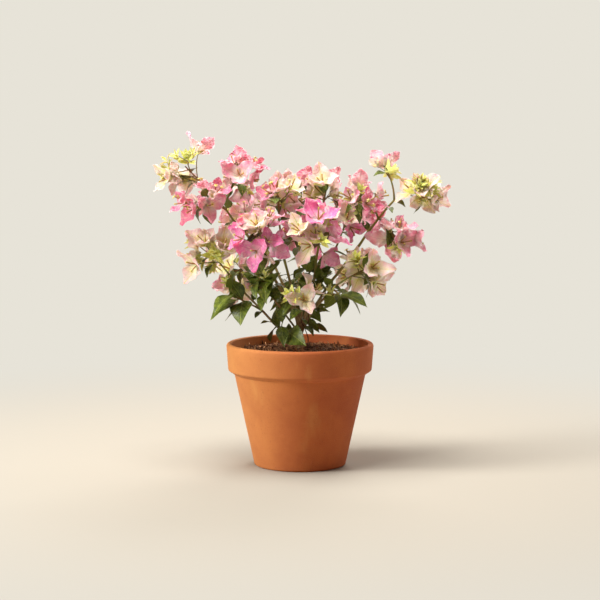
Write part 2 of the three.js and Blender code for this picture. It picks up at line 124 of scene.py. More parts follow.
# A closed tube of rings along a path. radiusAt takes the share of the path, the point's
# number and the turn round it.
def tubeShell(path, radiusAt, sides):
    last = len(path) - 1
    side = squareTo((path[1] - path[0]).normalized())[0]
    vertices = []
    for i, point in enumerate(path):
        direction = (path[min(i + 1, last)] - path[max(i - 1, 0)]).normalized()
        side = (side - direction * side.dot(direction)).normalized()
        other = direction.cross(side)
        for k in range(sides):
            turn = 2 * math.pi * k / sides
            radius = radiusAt(i / last, i, turn)
            vertices.append(point + outAt(side, other, turn) * radius)
    faces = []
    for i in range(last):
        faces.extend(bandFaces(i * sides, (i + 1) * sides, sides))
    faces.append(tuple(reversed(range(sides))))
    faces.append(tuple(last * sides + k for k in range(sides)))
    return vertices, faces


def joinShells(shells):
    vertices = []
    faces = []
    for points, polygons in shells:
        first = len(vertices)
        vertices.extend(points)
        faces.extend(tuple(first + v for v in polygon) for polygon in polygons)
    return vertices, faces


def meshOf(name, vertices, faces, scale=mm):
    mesh = bpy.data.meshes.new(name)
    mesh.from_pydata([v * scale for v in vertices], [], faces)
    mesh.polygons.foreach_set("use_smooth", [True] * len(mesh.polygons))
    mesh.update()
    return mesh


def mark(mesh, name, kind, values):
    data = mesh.attributes.new(name, kind, "POINT").data
    data.foreach_set("vector" if kind == "FLOAT_VECTOR" else "value", values)


# Edges stay crisp under smooth shading where a test of their two faces' values says so.
def sharpen(mesh, values, isSharp):
    around = {}
    for polygon, value in zip(mesh.polygons, values):
        for key in polygon.edge_keys:
            around.setdefault(key, []).append(value)
    sharp = mesh.attributes.new("sharp_edge", "BOOLEAN", "EDGE")
    for edge in mesh.edges:
        pair = around[tuple(sorted(edge.vertices))]
        if len(pair) == 2 and isSharp(*pair):
            sharp.data[edge.index].value = True


def addObject(name, mesh):
    piece = bpy.data.objects.new(name, mesh)
    bpy.context.scene.collection.objects.link(piece)
    return piece


def finishPiece(piece, slot, replaced=()):
    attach(piece, "root")
    if replaced:
        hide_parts(*replaced)
    piece.data.calc_loop_triangles()
    print(piece.name, len(piece.data.loop_triangles), "triangles")


class Wire:  # a socket that takes part in sums, so that shader maths reads as a formula
    def __init__(self, graph, socket):
        self.graph = graph
        self.socket = socket

    def math(self, operation, *values):
        return self.graph.add("ShaderNodeMath", {"operation": operation},
                              dict(enumerate((self, *values))))

    def __add__(self, other):
        return self.math("ADD", other)

    def __mul__(self, other):
        return self.math("MULTIPLY", other)

    def __sub__(self, other):
        return self.math("SUBTRACT", other)

    def __truediv__(self, other):
        return self.math("DIVIDE", other)

    def __rsub__(self, other):
        return self.graph.add("ShaderNodeMath", {"operation": "SUBTRACT"}, {0: other, 1: self})

    __radd__ = __add__
    __rmul__ = __mul__


class Graph:  # a node tree, with one way to add any node
    def __init__(self, tree):
        self.tree = tree

    def add(self, kind, settings=None, inputs=None, output=0):
        node = self.tree.nodes.new(kind)
        for name, value in (settings or {}).items():
            setattr(node, name, value)
        for key, value in (inputs or {}).items():
            self.plug(node.inputs[key], value)
        return Wire(self, node.outputs[output]) if node.outputs else None

    def plug(self, socket, value):
        if isinstance(value, Wire):
            self.tree.links.new(value.socket, socket)
        else:
            socket.default_value = value

    def mix(self, factor, a, b):
        return self.add("ShaderNodeMix", {"data_type": "RGBA"}, {0: factor, 6: a, 7: b}, 2)

    def ease(self, value, low, high):
        return self.add("ShaderNodeMapRange", {"interpolation_type": "SMOOTHSTEP"},
                        {"Value": value, "From Min": low, "From Max": high})

    def noise(self, place, scale, detail=2, roughness=0.5):
        return self.add("ShaderNodeTexNoise", {},
                        {"Vector": place, "Scale": scale, "Detail": detail, "Roughness": roughness})

    def vector(self, x, y, z):
        return self.add("ShaderNodeCombineXYZ", {}, {0: x, 1: y, 2: z})

    def parts(self, vector):
        first = self.add("ShaderNodeSeparateXYZ", {}, {0: vector})
        return [Wire(self, output) for output in first.socket.node.outputs]


# A colour of 0 to 255 a channel, as Blender's own linear one.
def paint(red, green, blue):
    channels = []
    for value in (red, green, blue):
        share = value / 255
        channels.append(share / 12.92 if share <= 0.04045 else ((share + 0.055) / 1.055) ** 2.4)
    return (*channels, 1)


class Finish(Graph):  # a material: its tree, and the surface shader that it feeds
    def __init__(self, name, roughness, specular=0.5):
        self.material = bpy.data.materials.new(name)
        self.material.use_nodes = True
        super().__init__(self.material.node_tree)
        self.surface = self.tree.nodes["Principled BSDF"]
        self.surface.inputs["Specular IOR Level"].default_value = specular
        self.plug(self.surface.inputs["Roughness"], roughness)

    def colour(self, value):
        self.plug(self.surface.inputs["Base Color"], value)

    def relief(self, height, distance, strength=1):
        bump = self.add("ShaderNodeBump", {},
                        {"Height": height, "Distance": distance, "Strength": strength})
        self.plug(self.surface.inputs["Normal"], bump)

    def objectPlace(self):
        return self.add("ShaderNodeTexCoord", {}, {}, "Object")

    def mapPlace(self):
        return self.parts(self.add("ShaderNodeUVMap", {"uv_map": bakeMap}))


class Growth(Graph):  # a Geometry Nodes tree with named inputs, run once into a plain mesh
    def __init__(self, name, sockets):
        super().__init__(bpy.data.node_groups.new(name, "GeometryNodeTree"))
        self.tree.interface.new_socket("Shape", in_out="OUTPUT", socket_type="NodeSocketGeometry")
        self.sockets = {}
        for label, kind in sockets.items():
            self.sockets[label] = self.tree.interface.new_socket(
                label, in_out="INPUT", socket_type="NodeSocket" + kind)

    def given(self, label):
        return self.add("NodeGroupInput", {}, {}, label)

    def attribute(self, name, kind):
        return self.add("GeometryNodeInputNamedAttribute", {"data_type": kind}, {"Name": name})

    def finish(self, shape):
        whole = self.add("GeometryNodeRealizeInstances", {}, {"Geometry": shape})
        coated = self.add("GeometryNodeSetMaterial", {},
                          {"Geometry": whole, "Material": self.given("Finish")})
        self.add("NodeGroupOutput", {}, {0: coated})

    # One object of a collection at each point.
    def setOut(self, points, collection, kind, turned, size):
        kinds = self.add("GeometryNodeCollectionInfo", {},
                         {"Collection": collection, "Separate Children": True,
                          "Reset Children": True})
        self.finish(self.add("GeometryNodeInstanceOnPoints", {}, {
            "Points": points, "Instance": kinds, "Pick Instance": True, "Instance Index": kind,
            "Rotation": turned, "Scale": size}))

    # Runs the tree on a mesh, and gives the result as an object without modifiers.
    def run(self, name, mesh, **values):
        carrier = addObject(name + "Carrier", mesh)
        modifier = carrier.modifiers.new("growth", "NODES")
        modifier.node_group = self.tree
        for label, value in values.items():
            modifier[self.sockets[label].identifier] = value
        evaluated = carrier.evaluated_get(bpy.context.evaluated_depsgraph_get())
        result = bpy.data.meshes.new_from_object(evaluated)
        result.name = name
        bpy.data.objects.remove(carrier)
        return addObject(name, result)


studio = {
    "lens": 115.0,
    "cameraPlace": (0.0, -2.585, 0.5),
    "cameraTilt": -6.07,  # degrees below level
    "floorHalf": 60.0,
    "floorFade": (0.25, 1.1),  # where the floor starts and ends its turn into the backdrop
    "floorColour": paint(166, 160, 149),
    "backdrop": paint(231, 227, 216),
    "airColour": paint(244, 214, 190),
    "airStrength": 0.24,
    # name, place, size, power in watts, colour
    "lights": [
        ("keyLight", (-2.45, -0.75, 1.3), 1.0, 80, (1.0, 0.985, 0.93)),
        ("topLight", (-0.35, -0.3, 2.5), 1.3, 86, (1.0, 0.99, 0.96)),
        ("edgeLight", (1.9, 1.1, 1.0), 0.8, 9, (1.0, 0.93, 0.86)),
        ("wallLight", (0.5, 1.6, 1.7), 1.2, 34, (1.0, 0.97, 0.93)),
    ],
}


# Plain paint by the pot, which turns into the backdrop's even tone further out.
def floorFinish():
    finish = Finish("floorPaint", 0.9, 0.2)
    finish.colour(studio["floorColour"])
    distance = finish.add("ShaderNodeVectorMath", {"operation": "LENGTH"},
                          {0: finish.objectPlace()}, "Value")
    even = finish.add("ShaderNodeEmission", {}, {"Color": studio["backdrop"]})
    faded = finish.add("ShaderNodeMixShader", {},
                       {0: finish.ease(distance, *studio["floorFade"]),
                        1: Wire(finish, finish.surface.outputs[0]), 2: even})
    finish.plug(finish.tree.nodes["Material Output"].inputs["Surface"], faded)
    return finish.material


def buildStudio():
    camera = bpy.data.objects.new("studioCamera", bpy.data.cameras.new("studioCamera"))
    bpy.context.scene.collection.objects.link(camera)
    camera.data.lens = studio["lens"]
    camera.data.clip_end = 60
    camera.location = studio["cameraPlace"]
    camera.rotation_euler = (math.radians(90 + studio["cameraTilt"]), 0, 0)
    bpy.context.scene.camera = camera

    half = studio["floorHalf"]
    corners = [Vector((x, y, 0)) for x, y in ((-half, -half), (half, -half), (half, half), (-half, half))]
    floor = addObject("studioFloor", meshOf("studioFloor", corners, [(0, 1, 2, 3)], 1))
    floor.data.materials.append(floorFinish())

    world = bpy.data.worlds.new("studioAir")
    bpy.context.scene.world = world
    world.use_nodes = True
    air = Graph(world.node_tree)
    seen = air.add("ShaderNodeLightPath", {}, {}, "Is Camera Ray")
    background = world.node_tree.nodes["Background"]
    air.plug(background.inputs["Color"], air.mix(seen, studio["airColour"], studio["backdrop"]))
    air.plug(background.inputs["Strength"], studio["airStrength"] + seen * (1 - studio["airStrength"]))

    for name, place, size, power, colour in studio["lights"]:
        lamp = bpy.data.lights.new(name, "AREA")
        lamp.shape = "DISK"
        lamp.size = size
        lamp.energy = power
        lamp.color = colour
        light = bpy.data.objects.new(name, lamp)
        light.location = place
        light.visible_camera = False
        aim = Vector((0, 0, 0.3)) - Vector(place)
        light.rotation_euler = aim.to_track_quat("-Z", "Y").to_euler()
        bpy.context.scene.collection.objects.link(light)
    bpy.context.scene.view_settings.view_transform = "Standard"
    print("studio ready")


pot = {
    "height": 167,
    "rimRadius": 100,
    "bandHeight": 38,
    "bandFootRadius": 97.7,
    "shoulderRadius": 89.1,
    "shoulderDrop": 4.5,
    "baseRadius": 62.8,
    "mouthRadius": 91.5,
    "mouthDepth": 7,
    "floorRadius": 55.5,
    "floorThickness": 12,
    "drainRadius": 11,
    "edgeRound": 3.2,
    "lipRound": 4.2,
    "roundSteps": 6,
    "segments": 144,
    "crispAngle": 32,
    "clay": paint(184, 91, 38),
    "clayDark": paint(163, 69, 25),
    "bloomAndPaintedLight": paint(208, 146, 78),
    "speck": paint(150, 78, 44),
    "grain": paint(238, 170, 120),
    "rimBloom": 0.06,  # how much paler the band is than the body
    "sideBloomAndPaintedLight": 0.54,  # the same for the left side, which is paler partly from bloom and partly from painted light where the key light falls
    "paintedLitSide": (-0.09, 0.03),  # from here to there across the pot, that bloom and painted light fade out
    "cloudScale": 16,
    "smudgeScale": 34,
    "grainScale": 900,
    "speckScale": 420,
    "wheelScale": 330,
}


def quarterRound(centreRadius, centreHeight, radius, fromDegrees, toDegrees):
    points = []
    for i in range(pot["roundSteps"] + 1):
        angle = math.radians(fromDegrees + (toDegrees - fromDegrees) * i / pot["roundSteps"])
        points.append((centreRadius + radius * math.cos(angle), centreHeight + radius * math.sin(angle)))
    return points


def innerWallRadius(height):
    depth = pot["height"] - pot["mouthDepth"] - pot["floorThickness"]
    share = (height - pot["floorThickness"]) / depth
    return pot["floorRadius"] + (pot["mouthRadius"] - pot["floorRadius"]) * share


def straightSteps(start, end, steps):
    return [tuple(a + (b - a) * i / steps for a, b in zip(start, end)) for i in range(1, steps)]


# A closed ring of walls turned round the upright axis; the profile's ends meet.
def turnedShell(profile, segments):
    vertices = []
    for radius, height in profile:
        for k in range(segments):
            turn = 2 * math.pi * k / segments
            vertices.append(Vector((radius * math.cos(turn), radius * math.sin(turn), height)))
    faces = []
    rows = len(profile)
    for i in range(rows):
        faces.extend(bandFaces(i * segments, (i + 1) % rows * segments, segments))
    return vertices, faces


def clayFinish():
    finish = Finish("firedClay", 0.82, 0.35)
    place = finish.objectPlace()
    x, y, z = finish.parts(place)
    clouds = finish.noise(place, pot["cloudScale"], 5, 0.6)
    smudges = finish.noise(finish.vector(x, y, z * 0.35), pot["smudgeScale"], 3)
    grain = finish.noise(place, pot["grainScale"], 3, 0.7)
    specks = finish.ease(finish.noise(place, pot["speckScale"], 1), 0.66, 0.74)
    wheelRings = finish.noise(finish.vector(0, 0, z), pot["wheelScale"], 2)
    colour = finish.mix(finish.ease(clouds, 0.28, 0.72), pot["clayDark"], pot["clay"])
    bandFoot = pot["height"] - pot["bandHeight"]
    onBand = finish.ease(z, (bandFoot - 2) * mm, (bandFoot + 5) * mm)
    # The left side is painted paler: some of it is bloom, and some is painted light on the side the key
    # light falls on.
    litSide = 1 - finish.ease(x, *pot["paintedLitSide"])
    pale = finish.ease(smudges, 0.55, 0.8) * 0.4 + onBand * (smudges + 0.5) * pot["rimBloom"]
    pale = pale + litSide * (clouds + 0.5) * pot["sideBloomAndPaintedLight"]
    colour = finish.mix(pale, colour, pot["bloomAndPaintedLight"])
    colour = finish.mix(specks * 0.35, colour, pot["speck"])
    finish.colour(finish.mix(grain * 0.16, colour, pot["grain"]))
    finish.relief(grain * 0.35 + wheelRings * 0.5 + smudges * 0.25 - specks * 0.4, 0.0005)
    return finish.material


def buildPot():
    edge = pot["edgeRound"]
    bandFoot = pot["height"] - pot["bandHeight"]
    base = quarterRound(pot["baseRadius"] - edge, edge, edge, -90, 0)
    shoulder = (pot["shoulderRadius"], bandFoot - pot["shoulderDrop"])
    band = quarterRound(pot["bandFootRadius"] - edge, bandFoot + edge, edge, -80, 0)
    lip = quarterRound(pot["rimRadius"] - pot["lipRound"], pot["height"] - pot["lipRound"],
                       pot["lipRound"], 0, 135)
    mouth = (pot["mouthRadius"], pot["height"] - pot["mouthDepth"])
    floor = (pot["floorRadius"], pot["floorThickness"])
    drain = pot["drainRadius"]
    profile = [(drain, 0), *base, *straightSteps(base[-1], shoulder, 8), shoulder, *band,
               *straightSteps(band[-1], lip[0], 4), *lip, mouth,
               *straightSteps(mouth, floor, 6), floor, (drain, pot["floorThickness"])]
    vertices, faces = turnedShell(profile, pot["segments"])
    piece = addObject("clayPot", meshOf("clayPot", vertices, faces))
    limit = math.cos(math.radians(pot["crispAngle"]))
    sharpen(piece.data, [face.normal for face in piece.data.polygons], lambda a, b: a.dot(b) < limit)
    piece.data.materials.append(clayFinish())
    finishPiece(piece, "clay", ["pot"])


soil = {
    "edgeHeight": 155,
    "crownHeight": 160,
    "patchRadius": 16,
    "rings": 26,
    "segments": 90,
    "roughness": 1.5,  # height of its lumps
    "lumpScale": 0.09,
    "calmEdge": 4,  # the lumps die away over this width along the pot
    "crumbDensity": 76000,  # a square metre
    "crumbSizes": (0.0008, 0.0034),
    "chipDensity": 9000,
    "chipSizes": (0.0028, 0.0068),
    "dark": paint(92, 58, 38),
    "light": paint(170, 118, 80),
    "chip": paint(222, 158, 108),
    "chipDark": paint(116, 76, 50),
    "chipFibre": paint(88, 58, 40),
    "clumpScale": 190,
    "crumbScale": 620,
    "chipScale": 130,
    "fibreScale": 900,
    "gap": 0.3,  # between the soil and the pot
    "kinds": 4,  # shapes of crumb
}


def soilHeight(x, y):
    radius = math.hypot(x, y)
    edge = innerWallRadius(soil["edgeHeight"]) - soil["gap"]
    share = min(1, max(0, (edge - radius) / (edge - soil["patchRadius"])))
    rise = (1 - math.cos(math.pi * share)) / 2
    height = soil["edgeHeight"] + (soil["crownHeight"] - soil["edgeHeight"]) * rise
    spot = Vector((x * soil["lumpScale"], y * soil["lumpScale"], 3.3))
    lumps = noise.fractal(spot, 0.7, 2.1, 4)
    return height + soil["roughness"] * lumps * smooth(edge - radius, 0, soil["calmEdge"])


def soilFinish():
    finish = Finish("pottingSoil", 0.95, 0.25)
    place = finish.objectPlace()
    clumps = finish.noise(place, soil["clumpScale"], 4, 0.65)
    crumbs = finish.add("ShaderNodeTexVoronoi", {}, {"Vector": place, "Scale": soil["crumbScale"]})
    finish.colour(finish.mix(finish.ease(clumps, 0.42, 0.72), soil["dark"], soil["light"]))
    finish.relief(clumps * 0.8 - crumbs * 0.5, 0.0012)
    return finish.material


def chipFinish():
    finish = Finish("barkChips", 0.9, 0.25)
    place = finish.objectPlace()
    patches = finish.noise(place, soil["chipScale"], 2)
    fibres = finish.noise(place, soil["fibreScale"], 3, 0.7)
    tint = finish.mix(finish.ease(patches, 0.4, 0.62), soil["chipDark"], soil["chip"])
    finish.colour(finish.mix(fibres * 0.4, tint, soil["chipFibre"]))
    finish.relief(fibres, 0.0004)
    return finish.material


# A lump of a few faces: a small ball pushed about, or a flat splinter of it.
def lump(name, seed, stretch):
    dice = Dice(seed)
    rings, sides = 3, 6
    vertices = [Vector((0, 0, -1))]
    for i in range(1, rings + 1):
        level = -math.cos(math.pi * i / (rings + 1))
        for k in range(sides):
            turn = 2 * math.pi * k / sides + i * goldenAngle
            flat = math.sqrt(1 - level * level) * dice.between(0.7, 1.15)
            vertices.append(Vector((flat * math.cos(turn), flat * math.sin(turn), level)))
    vertices.append(Vector((0, 0, 1)))
    faces = [(0, 1 + (k + 1) % sides, 1 + k) for k in range(sides)]
    for i in range(rings - 1):
        faces.extend(bandFaces(1 + i * sides, 1 + (i + 1) * sides, sides))
    top = len(vertices) - 1
    faces.extend((top, top - sides + k, top - sides + (k + 1) % sides) for k in range(sides))
    shaped = [Vector(a * b for a, b in zip(v, stretch)) for v in vertices]
    return bpy.data.objects.new(name, meshOf(name, shaped, faces, 0.5))


def crumbTree():
    growth = Growth("crumbsOnSoil", {
        "Ground": "Geometry", "Crumbs": "Collection", "Density": "Float", "Smallest": "Float",
        "Largest": "Float", "Kinds": "Int", "Seed": "Int", "Finish": "Material"})
    seed = growth.given("Seed")
    points = growth.add("GeometryNodeDistributePointsOnFaces", {},
                        {"Mesh": growth.given("Ground"), "Density": growth.given("Density"),
                         "Seed": seed})

    def drawn(kind, low, high, socket, output):
        return growth.add("FunctionNodeRandomValue", {"data_type": kind},
                          {socket: low, socket + 1: high, 8: seed}, output)

    growth.setOut(points, growth.given("Crumbs"), drawn("INT", 0, growth.given("Kinds"), 4, 2),
                  drawn("FLOAT_VECTOR", (0, 0, 0), (6.28, 6.28, 6.28), 0, 0),
                  drawn("FLOAT", growth.given("Smallest"), growth.given("Largest"), 2, 1))
    return growth


def buildSoil():
    rings, segments = soil["rings"], soil["segments"]
    edge = innerWallRadius(soil["edgeHeight"]) - soil["gap"]
    bottom = pot["floorThickness"] + soil["gap"]
    vertices = [Vector((0, 0, soilHeight(0, 0)))]
    for i in range(1, rings + 1):
        for k in range(segments):
            turn = 2 * math.pi * k / segments
            x = edge * i / rings * math.cos(turn)
            y = edge * i / rings * math.sin(turn)
            vertices.append(Vector((x, y, soilHeight(x, y))))

    def band(a, b):
        turned = [(k + 1) % segments for k in range(segments)]
        return [(a + k, b + k, b + turned[k], a + turned[k]) for k in range(segments)]

    faces = [(0, 1 + k, 1 + (k + 1) % segments) for k in range(segments)]
    for i in range(rings - 1):
        faces.extend(band(1 + i * segments, 1 + (i + 1) * segments))
    ground = meshOf("ground", vertices, faces)

    rim = len(vertices) - segments
    foot = len(vertices)
    for k in range(segments):
        turn = 2 * math.pi * k / segments
        radius = innerWallRadius(bottom) - soil["gap"]
        vertices.append(Vector((radius * math.cos(turn), radius * math.sin(turn), bottom)))
    faces.extend(band(rim, foot))
    faces.append(tuple(reversed(range(foot, foot + segments))))
    piece = addObject("pottingSoil", meshOf("pottingSoil", vertices, faces))
    piece.data.materials.append(soilFinish())
    finishPiece(piece, "soil", ["soil"])

    scatter = crumbTree()
    sets = [
        ("soilCrumbs", (1, 1, 0.8), soil["crumbDensity"], soil["crumbSizes"], soilFinish(), 5),
        ("barkBits", (2.3, 0.5, 0.35), soil["chipDensity"], soil["chipSizes"], chipFinish(), 8),
    ]
    for name, stretch, density, sizes, material, seed in sets:
        collection = bpy.data.collections.new(name + "Kinds")
        lumps = [lump(f"{name}Kind{k}", seed + k, stretch) for k in range(soil["kinds"])]
        for each in lumps:
            collection.objects.link(each)
        piece = scatter.run(name, ground.copy(), Crumbs=collection, Density=density,
                            Smallest=sizes[0], Largest=sizes[1], Kinds=soil["kinds"] - 1,
                            Seed=seed, Finish=material)
        for each in lumps:
            bpy.data.objects.remove(each)
        finishPiece(piece, "soil")


trunk = {
    "foot": (0, 0, 160.3),
    "tip": (-4, 0, 201),
    "radii": (3.5, 2.8),
    "flareRadius": 3,
    "flareHeight": 5,
    "sunk": 1.6,  # how far it goes into the soil
}

# Each bough: name, parent, place along the parent, tip, upward arch, radius at root and tip.
boughTable = [
    ("right_stem", "trunk", 0.42, (13, -4, 208), -3, (2.3, 2.0)),
    ("low_left_bough", "trunk", 0.14, (-50, -12, 211), -5, (2.0, 1.6)),
    ("low_left_arm", "low_left_bough", 1, (-92, -20, 258), -4, (1.5, 1.3)),
    ("left_bough", "trunk", 1, (-74, 10, 316), 4, (2.2, 1.7)),
    ("upper_left_bough", "left_bough", 1, (-100, 9, 347), -3, (1.6, 1.4)),
    ("centre_left_bough", "trunk", 0.93, (-24, -38, 298), 8, (2.0, 1.6)),
    ("top_left_bough", "centre_left_bough", 1, (-28, -32, 334), 2, (1.4, 1.3)),
    ("centre_bough", "right_stem", 0.93, (25, -32, 302), 6, (1.9, 1.6)),
    ("right_bough", "right_stem", 1, (106, 5, 335), 3, (2.0, 1.6)),
    ("right_arm", "right_bough", 1, (127, 4, 360), 2, (1.5, 1.4)),
    ("low_right_bough", "right_stem", 0.7, (42, -26, 243), 3, (1.7, 1.4)),
    ("front_bough", "trunk", 0.75, (3, -32, 214), 1, (1.6, 1.3)),
    ("back_left_bough", "trunk", 0.86, (-46, 56, 290), 12, (2.1, 1.6)),
    ("back_right_bough", "trunk", 0.62, (48, 54, 288), 10, (2.1, 1.6)),
    ("back_bough", "trunk", 0.74, (0, 72, 292), 8, (2.0, 1.5)),
    ("top_back_bough", "back_bough", 1, (2, 60, 328), 2, (1.4, 1.3)),
]

cane = {
    "nodeSpacing": 24,
    "nodeWobble": 1.1,
    "sides": 14,
    "ringSpacing": 1.5,
    "swelling": 0.14,  # at each node, as a share of the radius
    "swellingLength": 2.4,
    "fissures": 0.09,  # depth of the bark's furrows, as a share of the radius
    "fissureScale": (2.6, 0.06),  # round the limb and along it
    "lumps": 0.07,
    "lumpScale": (0.9, 0.22),
    "collar": 0.1,  # widening where it leaves its parent
    "collarLength": 4,
    "lobes": 4,  # round the foot of the trunk
    "lobeDepth": 0.4,
    "greenHeights": (175, 345),  # from the old wood to the young
    "greenByHeight": 0.75,
    "greenByGirth": 0.25,
    "thickest": 3.6,  # radius with no green of its own
    "girthSpan": 2.2,
    "guardSides": 6,
    "brown": paint(150, 118, 76),
    "grey": paint(172, 146, 106),
    "olive": paint(140, 134, 70),
    "dark": paint(100, 76, 48),
    "patchScale": 75,
    "streakScale": 1100,
}


def growLimbs():
    foot = Vector(trunk["foot"])
    flare = trunk["flareHeight"]
    path = [foot, *bend(foot + up * flare, foot + up * 4 * flare, Vector(trunk["tip"]), 4)]
    limbs = {"trunk": {"path": path, "radii": trunk["radii"]}}
    for order, (name, parent, place, tip, arch, radii) in enumerate(boughTable):
        dice = Dice(order + 11)
        start = along(limbs[parent]["path"], place)[0]
        end = Vector(tip)
        steps = max(2, round((end - start).length / cane["nodeSpacing"]))
        path = bend(start, start.lerp(end, 0.5) + up * arch, end, steps)
        side, other = squareTo((end - start).normalized())
        for i in range(1, steps):
            path[i] += side * dice.between(-cane["nodeWobble"], cane["nodeWobble"])
            path[i] += other * dice.between(-cane["nodeWobble"], cane["nodeWobble"])
        limbs[name] = {"path": path, "radii": radii}
    return limbs


def limbRadius(name, radii, extra):
    def radiusAt(share, index, turn):
        radius = radii[0] + (radii[1] - radii[0]) * share + extra
        return radius + (trunk["flareRadius"] if name == "trunk" and index == 0 else 0)
    return radiusAt


# A rounded path through the given points, with a point about every given distance.
def roundedPath(points, spacing):
    ends = [points[0] * 2 - points[1], *points, points[-1] * 2 - points[-2]]
    path = []
    knots = []
    for i in range(len(points) - 1):
        a, b, c, d = ends[i:i + 4]
        steps = max(1, round((c - b).length / spacing))
        knots.append(len(path))
        for k in range(steps):
            t = k / steps
            path.append(0.5 * (b * 2 + (c - a) * t + (a * 2 - b * 5 + c * 4 - d) * t * t
                               + (b * 3 - a - c * 3 + d) * t ** 3))
    path.append(points[-1])
    return path, knots


# One limb with the swellings, lumps and fissures of its bark, and how young each ring is.
def barkLimb(name, limb, order):
    isTrunk = name == "trunk"
    points = list(limb["path"])
    if isTrunk:
        points[0] = points[0] - up * trunk["sunk"]
    path, knots = roundedPath(points, cane["ringSpacing"])
    root, tip = limb["radii"]
    shift = Vector((order * 7.3, order * 3.1, 0))

    def radiusAt(share, index, turn):
        radius = root + (tip - root) * share
        nearest = min(abs(index - knot) for knot in knots[1:]) if len(knots) > 1 else 99
        radius *= 1 + cane["swelling"] * math.exp(
            -(nearest * cane["ringSpacing"] / cane["swellingLength"]) ** 2)
        run = index * cane["ringSpacing"]
        if isTrunk:
            lobes = 1 + cane["lobeDepth"] * math.cos(cane["lobes"] * turn + 0.6)
            rise = max(0, run - trunk["sunk"])
            radius += trunk["flareRadius"] * lobes * math.exp(-2 * rise / trunk["flareHeight"])
        else:
            radius *= 1 + cane["collar"] * math.exp(-run / cane["collarLength"])
        ring = Vector((math.cos(turn), math.sin(turn), 0))
        furrow, bump = (noise.noise(ring * around + shift + up * run * ahead)
                        for around, ahead in (cane["fissureScale"], cane["lumpScale"]))
        return radius * (1 + cane["fissures"] * furrow + cane["lumps"] * bump)

    vertices, faces = tubeShell(path, radiusAt, cane["sides"])
    height = [smooth(point.z, *cane["greenHeights"]) for point in path]
    thin = smooth(cane["thickest"] - (root + tip) / 2, 0, cane["girthSpan"])
    young = [h * cane["greenByHeight"] + thin * cane["greenByGirth"]
             for h in height for _ in range(cane["sides"])]
    return vertices, faces, young


def barkFinish():
    finish = Finish("caneBark", 0.8, 0.3)
    place = finish.objectPlace()
    young = finish.add("ShaderNodeAttribute", {"attribute_name": "young"}, {}, "Fac")
    x, y, z = finish.parts(place)
    patches = finish.noise(place, cane["patchScale"], 3)
    streaks = finish.noise(finish.vector(x, y, z * 0.22), cane["streakScale"], 3, 0.65)
    old = finish.mix(finish.ease(patches, 0.4, 0.62), cane["brown"], cane["grey"])
    age = finish.ease(young + patches * 0.5 - 0.25, 0.25, 0.85)
    colour = finish.mix(age, old, cane["olive"])
    colour = finish.mix(finish.ease(streaks, 0.52, 0.7) * (0.75 - young * 0.45), colour, cane["dark"])
    finish.colour(colour)
    finish.relief(streaks * 0.8 + patches * 0.4, 0.0005)
    return finish.material


def buildLimbs(limbs):
    shells = []
    ages = []
    for order, (name, limb) in enumerate(limbs.items()):
        vertices, faces, young = barkLimb(name, limb, order)
        shells.append((vertices, faces))
        ages.extend(young)
    mesh = meshOf("barkLimbs", *joinShells(shells))
    mark(mesh, "young", "FLOAT", ages)
    mesh.materials.append(barkFinish())
    finishPiece(addObject("barkLimbs", mesh), "bark", list(limbs))


clearance = 0.6  # kept by blades and twigs from everything else
crownHeart = Vector((0, 0, 235))
lowestBlade = 168
smallLeaf = (24, 34)
bigLeaf = (38, 56)

